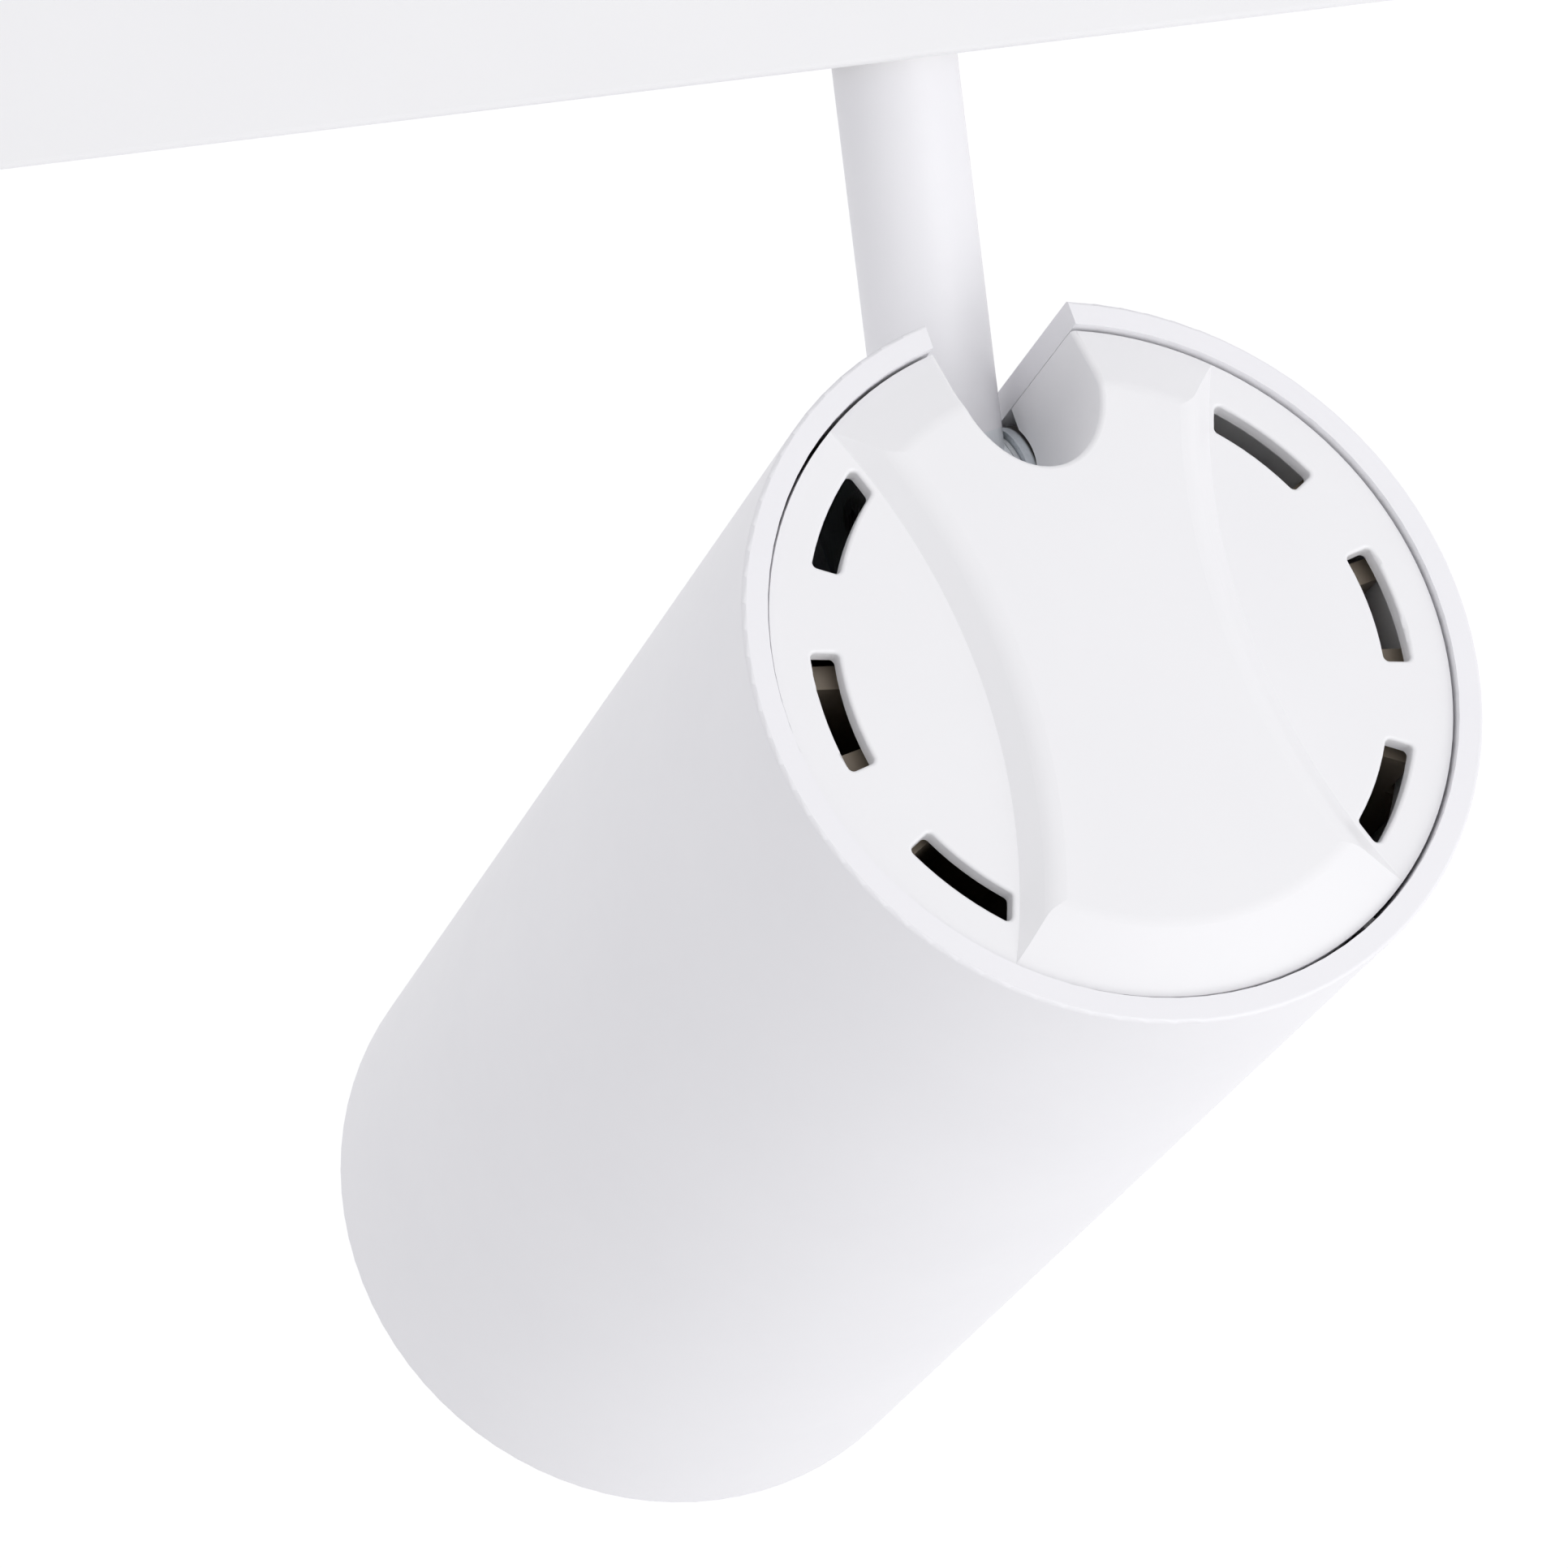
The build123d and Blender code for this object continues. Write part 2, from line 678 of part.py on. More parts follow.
# Head tube, with the slot in which the stem swings
with BuildPart() as head_tube:
    with BuildSketch(head):
        Circle(head_radius)
        Circle(tube_inner, mode=Mode.SUBTRACT)
    extrude(amount=-head_length)
    rims = head_tube.edges().filter_by(GeomType.CIRCLE)
    fillet(rims.filter_by(lambda rim: rim.radius > tube_inner + fit_gap), rim_edge_radius)
    with BuildSketch(head_slot.offset(pivot_offset)):
        with Locations((0, (slot_end - slot_half) / 2)):
            Rectangle(2 * slot_half, slot_end - slot_half)
        with Locations((0, slot_end - slot_half)):
            Circle(slot_half)
    extrude(amount=head_radius, mode=Mode.SUBTRACT)
pieces["head_tube"] = head_tube


# Back cap
def crown(shrink, drop):
    """Raised hourglass of the cap, with conical ends and hollow sides, made smaller and lower."""
    with BuildPart() as shape:
        with BuildSketch(at(cap_inset + drop)):
            Circle(cap_radius - shrink)
        with BuildSketch(at(drop - crown_height)):
            Circle(crown_radius - shrink)
        loft()
        for side in (-1, 1):
            with BuildSketch(at(cap_inset + drop)):
                with Locations((side * waist_centre, 0)):
                    Circle(waist_centre - foot_half + shrink)
            with BuildSketch(at(drop - crown_height)):
                with Locations((side * waist_centre, 0)):
                    Circle(waist_centre - waist_half + shrink)
            loft(mode=Mode.SUBTRACT)
        top = shape.faces().sort_by(Axis(head.origin, head.z_dir))[-1]
        fillet(top.edges(), crown_edge_radius)
    return shape.part


def notch(grow):
    """Outline of the notch for the stem, open at the rim, with an elliptic floor."""
    centre = notch_floor + notch_bow
    with BuildSketch(mode=Mode.PRIVATE) as outline:
        with Locations((0, centre)):
            Ellipse(notch_half + grow, notch_bow + grow)
        with Locations((0, (centre + head_radius) / 2)):
            Rectangle(2 * (notch_half + grow), head_radius - centre)
    return outline.sketch


def round_vent(edge):
    """Whether an edge goes round a vent, on the cap's outer face."""
    place = head.to_local_coords(edge.center())
    in_ring = vent_inner - fit_gap < hypot(place.X, place.Y) < vent_outer + fit_gap
    from_side = hypot(waist_centre - abs(place.X), place.Y)
    return (abs(place.Z + cap_inset) < fit_gap and in_ring
            and from_side < waist_centre - foot_half - vent_margin / 2)


def round_notch(edge):
    """Whether an edge goes along the notch, on the cap's outer face."""
    place = head.to_local_coords(edge.center())
    return (abs(place.X) < notch_half + fit_gap
            and place.Y > notch_floor - fit_gap
            and -cap_inset < place.Z)


outer_crown = crown(0, 0)
with BuildPart() as inner_crown:
    add(crown(crown_skin, cap_wall))
    with BuildSketch(at(-crown_height)):
        add(notch(trough_wall))
    extrude(amount=-crown_height - trough_depth, mode=Mode.SUBTRACT)
rib_angle = 360 / crush_rib_count
with BuildPart() as rear_cap:
    with BuildSketch(at(cap_inset)):
        Circle(cap_radius)
    extrude(amount=-cap_wall)
    add(outer_crown)
    add(inner_crown.part, mode=Mode.SUBTRACT)
    with BuildSketch(at(cap_inset)):
        Circle(cap_radius)
        Circle(cap_radius - skirt_wall, mode=Mode.SUBTRACT)
    extrude(amount=cap_inset - skirt_depth)
    with BuildSketch(at(cap_inset)):
        add(notch(trough_wall))
        Circle(cap_radius, mode=Mode.INTERSECT)
    extrude(amount=cap_inset - trough_depth)
    with BuildSketch(head_side):
        with Locations(hinge_point):
            Circle(bracket_ear_radius + body_gap)
    extrude(amount=notch_half + trough_wall, both=True, mode=Mode.SUBTRACT)
    with BuildSketch(at(crush_rib_start)):
        with PolarLocations(tube_inner - fit_gap - crush_rib_width / 2, crush_rib_count,
                            start_angle=90 + rib_angle / 2):
            Rectangle(crush_rib_width, crush_rib_width)
    extrude(amount=crush_rib_start - skirt_depth)
    with BuildSketch(at(-crown_height)):
        add(notch(0))
    extrude(amount=-crown_height - trough_depth, mode=Mode.SUBTRACT)
    for side in (-1, 1):
        with BuildSketch(at(cap_inset)) as vents:
            for angle in vent_angles:
                first = 90 - side * angle - vent_sweep / 2
                with BuildLine():
                    inner = CenterArc((0, 0), vent_inner, first, vent_sweep)
                    outer = CenterArc((0, 0), vent_outer, first, vent_sweep)
                    Line(inner @ 0, outer @ 0)
                    Line(inner @ 1, outer @ 1)
                make_face()
            with Locations((side * waist_centre, 0)):
                Circle(waist_centre - foot_half - vent_margin, mode=Mode.INTERSECT)
            fillet(vents.vertices(), vent_corner)
        extrude(amount=-cap_wall, mode=Mode.SUBTRACT)
    fillet(rear_cap.edges().filter_by(round_vent), vent_edge_radius)
    fillet(rear_cap.edges().filter_by(round_notch), notch_edge_radius)
pieces["rear_cap"] = rear_cap

# Heat sink: radial fins on a core, a base disc against the tube and a pad for the bracket
fin_angles = [90 + (place + 0.5) * 360 / fin_count for place in range(fin_count)
              if place not in bare_fins]
with BuildPart() as heat_sink:
    for radius, tip in ((fin_radius, fin_shoulder), (fin_tip_radius, fin_start)):
        with BuildSketch(at(base_start)):
            Circle(core_radius)
            for angle in fin_angles:
                with Locations(Rotation(0, 0, angle) * Location((radius / 2, 0))):
                    Rectangle(radius, fin_thickness)
        extrude(amount=base_start - tip)
    with BuildSketch(at(bracket_seat)):
        with Locations((0, (pocket_floor + head_radius) / 2)):
            Rectangle(2 * pocket_half, head_radius - pocket_floor)
    extrude(amount=bracket_seat, mode=Mode.SUBTRACT)
    with BuildSketch(at(bracket_seat)):
        with Locations((0, head_radius / 2)):
            Rectangle(2 * pocket_half, head_radius)
        Circle(fin_radius, mode=Mode.INTERSECT)
    extrude(amount=-pad_thickness)
    with BuildSketch(at(base_start)):
        Circle(tube_inner - fit_gap)
    extrude(amount=base_start - base_end)
    with BuildSketch(at(bracket_seat)):
        with Locations((0, lead_well_y)):
            Circle(lead_well_radius)
    extrude(amount=bracket_seat - base_end, mode=Mode.SUBTRACT)
    with BuildSketch(at(bracket_seat)):
        with Locations((-bracket_screw_x, bracket_screw_y), (bracket_screw_x, bracket_screw_y)):
            Circle(screw_radius + fit_gap)
    extrude(amount=-pad_thickness, mode=Mode.SUBTRACT)
    with BuildSketch(at(base_end)):
        with Locations((-holder_screw_x, 0), (holder_screw_x, 0)):
            Circle(screw_radius + fit_gap)
    extrude(amount=base_end - base_start, mode=Mode.SUBTRACT)
pieces["heat_sink"] = heat_sink

# Folded bracket: two ears round the hinge and a foot on the heat sink's pad
foot_radius = tube_inner - body_gap
with BuildPart() as pivot_bracket:
    for side in (-1, 1):
        with BuildSketch(head_side.offset(side * ear_inner)):
            with Locations(hinge_point):
                Circle(bracket_ear_radius)
            with Locations((pivot_offset, -(pivot_depth + bracket_seat) / 2)):
                Rectangle(2 * bracket_ear_radius, bracket_reach)
        extrude(amount=side * bracket_sheet)
    with BuildSketch(at(bracket_seat)):
        with Locations((0, pivot_offset)):
            Rectangle(2 * bracket_foot_reach, 2 * bracket_ear_radius)
        Circle(foot_radius, mode=Mode.INTERSECT)
        with Locations((-bracket_screw_x, bracket_screw_y), (bracket_screw_x, bracket_screw_y)):
            Circle(screw_radius + fit_gap, mode=Mode.SUBTRACT)
    extrude(amount=bracket_sheet)
    with BuildSketch(head_side):
        with Locations(hinge_point):
            Circle(pin_radius + fit_gap)
    extrude(amount=ear_outer, both=True, mode=Mode.SUBTRACT)
pieces["pivot_bracket"] = pivot_bracket

bracket_screw_spots = [(-bracket_screw_x, bracket_screw_y), (bracket_screw_x, bracket_screw_y)]
pieces["bracket_screws"] = screw(at(bracket_seat - bracket_sheet), bracket_screw_spots,
                                 screw_radius, screw_length - bracket_sheet, screw_head_radius,
                                 screw_head_height)

# Hinge screw, nut and friction washers
with BuildPart() as friction_washers:
    for side in (-1, 1):
        with BuildSketch(head_side.offset(side * (ear_inner - running_gap))):
            with Locations(hinge_point):
                Circle(eye_radius)
                Circle(pin_radius + fit_gap, mode=Mode.SUBTRACT)
        extrude(amount=-side * friction_washer_thickness)
pieces["friction_washers"] = friction_washers

pin_length = 2 * ear_outer + hinge_nut_height
hinge_head_plane = Plane(origin=head_side.offset(-ear_outer).origin, x_dir=head.y_dir,
                         z_dir=-head.x_dir)
pieces["pivot_screw"] = screw(hinge_head_plane, [(pivot_offset, pivot_depth)], pin_radius,
                              pin_length, screw_head_radius, screw_head_height)

with BuildPart() as pivot_nut:
    with BuildSketch(head_side.offset(ear_outer)):
        with Locations(hinge_point):
            RegularPolygon(hinge_nut_flats / 2, 6, major_radius=False)
            Circle(pin_radius + fit_gap, mode=Mode.SUBTRACT)
    extrude(amount=hinge_nut_height)
pieces["pivot_nut"] = pivot_nut

# Light source on the heat sink's front, in its holder
with BuildPart() as led_board:
    with BuildSketch(at(base_end)):
        Rectangle(led_board_side, led_board_side)
    extrude(amount=-led_board_thickness)
pieces["led_board"] = led_board

with BuildPart() as led_emitter:
    with BuildSketch(at(base_end + led_board_thickness)):
        Circle(emitter_radius)
    extrude(amount=-emitter_thickness)
pieces["led_emitter"] = led_emitter

with BuildPart() as led_holder:
    with BuildSketch(at(base_end)):
        Circle(holder_radius)
        with Locations((0, lead_groove_reach / 2)):
            Rectangle(2 * lead_well_radius, lead_groove_reach, mode=Mode.SUBTRACT)
        with Locations((-holder_screw_x, 0), (holder_screw_x, 0)):
            Circle(screw_radius + fit_gap, mode=Mode.SUBTRACT)
    extrude(amount=-holder_height)
    with BuildSketch(at(base_end)):
        Rectangle(led_board_side + 2 * easy_gap, led_board_side + 2 * easy_gap)
    extrude(amount=holder_lip - holder_height, mode=Mode.SUBTRACT)
    with BuildSketch(at(base_end)):
        Circle(holder_opening)
    extrude(amount=-holder_height, mode=Mode.SUBTRACT)
pieces["led_holder"] = led_holder

holder_face = Plane(origin=at(base_end + holder_height).origin, x_dir=head.x_dir,
                    z_dir=-head.z_dir)
pieces["holder_screws"] = screw(holder_face, [(-holder_screw_x, 0), (holder_screw_x, 0)],
                                screw_radius, screw_length, screw_head_radius,
                                screw_head_height)

# Leads in the head: from the hinge, through the pad's well, to the light source
well_side = lead_radius + running_gap
board_lead_depth = base_end + led_board_thickness + lead_radius + fit_gap
lean = 1 / tan(radians(aim_tilt))
with BuildPart() as head_leads:
    for side in (-1, 1):
        start = stem.from_local_coords((0, side * lead_spread, 0))
        knee = head.to_local_coords(start - stem.z_dir * eye_radius)
        elbow = -knee.Z + (knee.Y - lead_well_y) * lean
        add(wire([
            start,
            head_point(side * well_side, lead_well_y, elbow),
            head_point(side * well_side, lead_well_y, board_lead_depth),
            head_point(side * well_side, holder_opening, board_lead_depth),
        ]))
    with BuildSketch(stem_side):
        Circle(eye_radius + body_gap)
    extrude(amount=eye_width / 2, both=True, mode=Mode.SUBTRACT)
pieces["head_leads"] = head_leads

# Reflector: a bowed shell with a flange behind the glass
throat_level = -(base_end + holder_height)
mouth_level = -reflector_end
with BuildPart() as reflector:
    with BuildSketch(head_section):
        with BuildLine():
            inner_start = (reflector_throat, throat_level)
            inner_end = (reflector_mouth, mouth_level)
            outer_start = (reflector_throat + reflector_wall, throat_level)
            outer_end = (reflector_mouth + reflector_wall, mouth_level + reflector_flange)
            SagittaArc(inner_start, inner_end, reflector_bow)
            SagittaArc(outer_start, outer_end, reflector_bow)
            Line(inner_start, outer_start)
            Polyline(
                outer_end,
                (reflector_edge, mouth_level + reflector_flange),
                (reflector_edge, mouth_level),
                inner_end,
            )
        make_face()
    revolve(axis=head_axis)
pieces["reflector"] = reflector

with BuildPart() as glass_gasket:
    with BuildSketch(at(reflector_end)):
        Circle(tube_inner - easy_gap)
        Circle(tube_inner - gasket_width, mode=Mode.SUBTRACT)
    extrude(amount=-gasket_thickness)
pieces["glass_gasket"] = glass_gasket

with BuildPart() as front_glass:
    with BuildSketch(at(glass_start)):
        Circle(tube_inner - glass_edge_gap)
    extrude(amount=-glass_thickness)
pieces["front_glass"] = front_glass

# Anti-glare baffle: a flared ring in the tube's mouth, grooved inside
baffle_end = head_length - baffle_recess
groove_pitch = (baffle_end - baffle_start - 2 * baffle_lip) / baffle_groove_count
flare = (baffle_mouth - baffle_throat) / (baffle_end - baffle_start)
with BuildPart() as anti_glare_ring:
    with BuildSketch(head_section):
        with BuildLine():
            saw = [(baffle_throat, -baffle_start)]
            for groove in range(baffle_groove_count):
                depth = baffle_lip + groove * groove_pitch
                radius = baffle_throat + flare * depth
                next_radius = radius + flare * groove_pitch
                saw.append((radius, -baffle_start - depth))
                saw.append((next_radius + baffle_groove_depth,
                            -baffle_start - depth - groove_pitch * baffle_groove_slope))
            saw.append((baffle_mouth, -baffle_end + baffle_lip))
            saw.append((baffle_mouth, -baffle_end))
            saw.append((tube_inner - easy_gap, -baffle_end))
            saw.append((tube_inner - easy_gap, -baffle_start))
            Polyline(*saw, close=True)
        make_face()
    revolve(axis=head_axis)
pieces["anti_glare_ring"] = anti_glare_ring

for name, piece in pieces.items():
    piece.part.label = name
    export_step(piece.part, f"parts/{name}.step")
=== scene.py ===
"""Looks of the magnetic track spotlight: finishes, lights and fine pieces over its solids.

Blender's own lengths are in metres, in the row frame: the origin is the centre of the adapter's top
face on the stem's axis, +X runs along the adapter, +Z up, and -Y is the side of the camera. The
shapes of the pieces made here are written in millimetres, and piece() turns them into metres.
"""

from math import asin, cos, pi, radians, sin

import bmesh
import bpy
from mathutils import Matrix, Quaternion, Vector


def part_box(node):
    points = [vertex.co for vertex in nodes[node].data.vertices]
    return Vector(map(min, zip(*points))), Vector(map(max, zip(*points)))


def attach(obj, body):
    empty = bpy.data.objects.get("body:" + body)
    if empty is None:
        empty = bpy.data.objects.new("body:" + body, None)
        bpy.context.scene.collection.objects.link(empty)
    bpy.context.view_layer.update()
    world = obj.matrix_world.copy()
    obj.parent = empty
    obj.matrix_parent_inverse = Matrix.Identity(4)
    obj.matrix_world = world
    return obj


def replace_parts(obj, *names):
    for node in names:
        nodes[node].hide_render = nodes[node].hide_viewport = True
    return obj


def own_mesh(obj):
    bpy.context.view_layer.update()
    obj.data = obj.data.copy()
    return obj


MM = 0.001

# Frames of the moving parts at rest, in millimetres. The stem's is at the hinge and the head's at
# its back rim, with x along the hinge, y towards the slot and z back along the head's axis.
HINGE_LEVEL = -62.2
HEAD_TURN = radians(28.6)
HEAD_TILT = radians(61.15)
HINGE_OFF_AXIS = 21.5
HINGE_DEPTH = 19.0  # from the back rim
STEM_FRAME = Matrix.Translation((0, 0, HINGE_LEVEL)) @ Matrix.Rotation(HEAD_TURN, 4, "Z")
HEAD_FRAME = (STEM_FRAME @ Matrix.Rotation(HEAD_TILT, 4, "X")
              @ Matrix.Translation((0, -HINGE_OFF_AXIS, HINGE_DEPTH)))
HINGE_FRAME = HEAD_FRAME @ Matrix.Translation((0, HINGE_OFF_AXIS, -HINGE_DEPTH))

# Camera, at the photograph's place
CAMERA_PLACE = Vector((28.06, -488.52, -2.02)) * MM
CAMERA_AIM = Vector((-15.82, 0.0, -82.94)) * MM
CAMERA_ROLL = radians(-7.2)
CAMERA_LENS = 141.9
CAMERA_SENSOR = 36.0

# Stage
FLOOR_DROP = 900 * MM  # below the adapter's top
FLOOR_SIZE = 80.0
FLOOR_SHOWN = 0.32  # what the floor adds of its own where it is seen
AMBIENT = 0.785
AMBIENT_COLOUR = (0.98, 0.98, 1.0)
LAMP_SIZE = 0.8
KEY_PLACE = Vector((805, -630, -400)) * MM
KEY_POWER = 4.3
FILL_PLACE = Vector((-250, -700, 850)) * MM
FILL_POWER = 0.55

# Finishes
NOISE_LOW, NOISE_HIGH = 0.3, 0.7  # most values of a noise texture lie between these
FINE_SHARE = 4  # waves of the roughness are this much longer than those of the relief
STRETCH = 0.03  # share of the waves that brushed metal keeps along its lines
# Painted shade: a near-black band on the bracket's outer edges round the hinge, in place of their
# shading
EDGE_SHADE_ZONE = ((5.75, 0.0), (5.95, 1.0), (6.56, 1.0), (6.59, 0.0))  # mm from the hinge's middle
EDGE_SHADE_COLOUR = (0.05, 0.045, 0.042)
ZONE_SPAN = 10.0  # mm that the ramp of the painted edge shade covers

# Levels and places in the adapter, in millimetres
CONTACTS_X = (-39.5, -34.5, -29.5, -24.5)
SPRING_SEAT = -9.0
SPRING_TOP = -3.95
MAGNET_SIZE = (20.0, 10.0, 4.0)
MAGNETS_X = (-60.0, 60.0)
BASE_UNDERSIDE = -10.0
BOARD_TOP = -17.0
INDUCTOR_X = 47.0
CHIP_X = 34.0
TERMINALS_X = 21.8
CAPACITORS_X = 59.0
CAPACITOR_TOP = -9.1

# Places in the head's and the stem's frames, in millimetres
BRACKET_FACE = -29.7
LED_FACE = -69.6
HOLDER_FACE = -72.5
GLASS_SEAT = -101.4
STEM_NUT_SEAT = 41.65
BRACKET_SIDE = 6.6  # outer faces of the bracket, from the hinge's middle

# Fasteners
THREAD_DEPTH = 0.54  # of the pitch
CHAMFER_RISE = 0.577  # tangent of the 30 degrees that a nut's corners are turned to


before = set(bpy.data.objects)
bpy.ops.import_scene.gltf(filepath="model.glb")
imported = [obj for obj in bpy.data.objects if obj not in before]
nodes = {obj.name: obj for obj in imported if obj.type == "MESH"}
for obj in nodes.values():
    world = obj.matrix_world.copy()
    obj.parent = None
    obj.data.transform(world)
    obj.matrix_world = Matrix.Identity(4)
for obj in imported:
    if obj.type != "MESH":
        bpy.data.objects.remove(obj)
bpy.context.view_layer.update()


def links(tree, *pairs):
    """Joins each pair of sockets of a node tree."""
    for source, target in pairs:
        tree.links.new(source, target)


def noise(tree, scale, detail):
    """Noise in the object's own coordinates, with a scale in waves per metre."""
    place = tree.nodes.new("ShaderNodeTexCoord")
    texture = tree.nodes.new("ShaderNodeTexNoise")
    texture.inputs["Scale"].default_value = scale
    texture.inputs["Detail"].default_value = detail
    links(tree, (place.outputs["Object"], texture.inputs["Vector"]))
    return texture


def spread(tree, texture, low, high):
    """Texture value stretched from low to high."""
    ramp = tree.nodes.new("ShaderNodeMapRange")
    ramp.inputs["From Min"].default_value = NOISE_LOW
    ramp.inputs["From Max"].default_value = NOISE_HIGH
    ramp.inputs["To Min"].default_value = low
    ramp.inputs["To Max"].default_value = high
    links(tree, (texture.outputs["Fac"], ramp.inputs["Value"]))
    return ramp.outputs["Result"]


def blend(tree, texture, dark, light):
    """Colour that drifts between two tones with a texture."""
    ramp = tree.nodes.new("ShaderNodeValToRGB")
    ramp.color_ramp.elements[0].position = NOISE_LOW
    ramp.color_ramp.elements[0].color = (*dark, 1)
    ramp.color_ramp.elements[1].position = NOISE_HIGH
    ramp.color_ramp.elements[1].color = (*light, 1)
    links(tree, (texture.outputs["Fac"], ramp.inputs["Fac"]))
    return ramp.outputs["Color"]


def grain(tree, shader, scale, depth, detail=4.0):
    """Fine relief of a surface: waves per metre, and their depth in metres."""
    texture = noise(tree, scale, detail)
    bump = tree.nodes.new("ShaderNodeBump")
    bump.inputs["Strength"].default_value = 1.0
    bump.inputs["Distance"].default_value = depth
    links(
        tree,
        (texture.outputs["Fac"], bump.inputs["Height"]),
        (bump.outputs["Normal"], shader.inputs["Normal"]),
    )


def empty_material(name):
    """New material, with its tree and its shader."""
    made = bpy.data.materials.new(name)
    made.use_nodes = True
    return made, made.node_tree, made.node_tree.nodes["Principled BSDF"]


def surface(name, dark, light, rough, drift=60.0, grain_scale=2500.0, grain_depth=4e-6, **fixed):
    """Finish whose colour and roughness drift over the surface, with a fine relief."""
    made, tree, shader = empty_material(name)
    slow = noise(tree, drift, 3.0)
    fine = noise(tree, grain_scale / FINE_SHARE, 5.0)
    links(
        tree,
        (blend(tree, slow, dark, light), shader.inputs["Base Color"]),
        (spread(tree, fine, *rough), shader.inputs["Roughness"]),
    )
    grain(tree, shader, grain_scale, grain_depth)
    for socket, value in fixed.items():
        shader.inputs[socket.replace("_", " ")].default_value = value
    return made


def brushed(name, dark, light, rough, along, scale=4000.0, metal=1.0, relief=3e-6):
    """Drawn or turned metal, whose fine lines run along one axis."""
    made, tree, shader = empty_material(name)
    shader.inputs["Metallic"].default_value = metal
    place = tree.nodes.new("ShaderNodeTexCoord")
    squeeze = tree.nodes.new("ShaderNodeMapping")
    squeeze.inputs["Scale"].default_value = [STRETCH if i == along else 1.0 for i in range(3)]
    lines = tree.nodes.new("ShaderNodeTexNoise")
    lines.inputs["Scale"].default_value = scale
    lines.inputs["Detail"].default_value = 3.0
    bump = tree.nodes.new("ShaderNodeBump")
    bump.inputs["Distance"].default_value = relief
    links(
        tree,
        (place.outputs["Object"], squeeze.inputs["Vector"]),
        (squeeze.outputs["Vector"], lines.inputs["Vector"]),
        (blend(tree, lines, dark, light), shader.inputs["Base Color"]),
        (spread(tree, lines, *rough), shader.inputs["Roughness"]),
        (lines.outputs["Fac"], bump.inputs["Height"]),
        (bump.outputs["Normal"], shader.inputs["Normal"]),
    )
    return made


def zinc_with_painted_edge_shade():
    """Zinc-plated sheet whose edges round the hinge carry painted shade, a near-black band."""
    made = brushed("zinc_with_painted_edge_shade", (0.6, 0.64, 0.68), (0.68, 0.72, 0.76), (0.34, 0.46), along=2,
                   metal=0.2)
    tree = made.node_tree
    shader = tree.nodes["Principled BSDF"]
    plated = shader.inputs["Base Color"].links[0].from_socket
    place = tree.nodes.new("ShaderNodeTexCoord")
    across = tree.nodes.new("ShaderNodeVectorMath")
    across.operation = "DOT_PRODUCT"
    across.inputs[1].default_value = HEAD_FRAME.to_3x3() @ Vector((1, 0, 0))
    away = tree.nodes.new("ShaderNodeMath")
    away.operation = "ABSOLUTE"
    reach = tree.nodes.new("ShaderNodeMath")
    reach.operation = "MULTIPLY"
    reach.inputs[1].default_value = 1 / (ZONE_SPAN * MM)
    # Painted shade: a near-black band over the outer part of the edges, standing in for their
    # shading
    zone = tree.nodes.new("ShaderNodeValToRGB")
    zone.color_ramp.elements[0].position = 0.0
    zone.color_ramp.elements[0].color = (0, 0, 0, 1)
    for position, share in EDGE_SHADE_ZONE:
        step = zone.color_ramp.elements.new(position / ZONE_SPAN)
        step.color = (share, share, share, 1)
    zone.color_ramp.elements[-1].color = (0, 0, 0, 1)
    mix = tree.nodes.new("ShaderNodeMix")
    mix.data_type = "RGBA"
    mix.inputs["B"].default_value = (*EDGE_SHADE_COLOUR, 1)
    links(
        tree,
        (place.outputs["Object"], across.inputs[0]),
        (across.outputs["Value"], away.inputs[0]),
        (away.outputs["Value"], reach.inputs[0]),
        (reach.outputs["Value"], zone.inputs["Fac"]),
        (zone.outputs["Color"], mix.inputs["Factor"]),
        (plated, mix.inputs["A"]),
        (mix.outputs["Result"], shader.inputs["Base Color"]),
    )
    return made


def clear_glass():
    """Clear float glass with a faint waviness."""
    made, tree, shader = empty_material("clear_glass")
    shader.inputs["Transmission Weight"].default_value = 1.0
    shader.inputs["IOR"].default_value = 1.5
    waves = noise(tree, 30.0, 2.0)
    tint = blend(tree, waves, (0.95, 0.97, 0.965), (0.98, 0.99, 0.985))
    links(
        tree,
        (tint, shader.inputs["Base Color"]),
        (spread(tree, waves, 0.0, 0.02), shader.inputs["Roughness"]),
    )
    grain(tree, shader, 40.0, 1e-6, 2.0)
    return made


coat = surface("white_powder_coat", (0.87, 0.864, 0.888), (0.885, 0.879, 0.902), (0.42, 0.5),
               grain_scale=2600.0, grain_depth=6e-6)
moulded = surface("white_moulded_plastic", (0.872, 0.868, 0.882), (0.886, 0.882, 0.895),
                  (0.36, 0.44), grain_scale=4200.0, grain_depth=2e-6)
extruded = surface("white_extruded_plastic", (0.91, 0.907, 0.917), (0.924, 0.921, 0.93),
                   (0.36, 0.44), grain_scale=3600.0, grain_depth=2e-6)
black_plastic = surface("black_plastic", (0.02, 0.02, 0.021), (0.03, 0.03, 0.032), (0.4, 0.55))
baffle_black = surface("baffle_black", (0.012, 0.012, 0.013), (0.02, 0.02, 0.022), (0.5, 0.65))
ivory = surface("ivory_plastic", (0.66, 0.65, 0.6), (0.72, 0.71, 0.67), (0.38, 0.48))
insulation = surface("lead_insulation", (0.62, 0.61, 0.57), (0.7, 0.69, 0.66), (0.35, 0.45))
anodised = surface("bronze_black_anodised", (0.2, 0.165, 0.128), (0.27, 0.225, 0.175),
                   (0.38, 0.5), Metallic=0.25)
board_green = surface("solder_mask", (0.006, 0.05, 0.02), (0.012, 0.08, 0.035), (0.25, 0.35),
                      drift=500.0)
ferrite = surface("ferrite", (0.03, 0.028, 0.027), (0.06, 0.056, 0.054), (0.6, 0.75))
sleeve = surface("capacitor_sleeve", (0.012, 0.014, 0.02), (0.02, 0.022, 0.03), (0.25, 0.32))
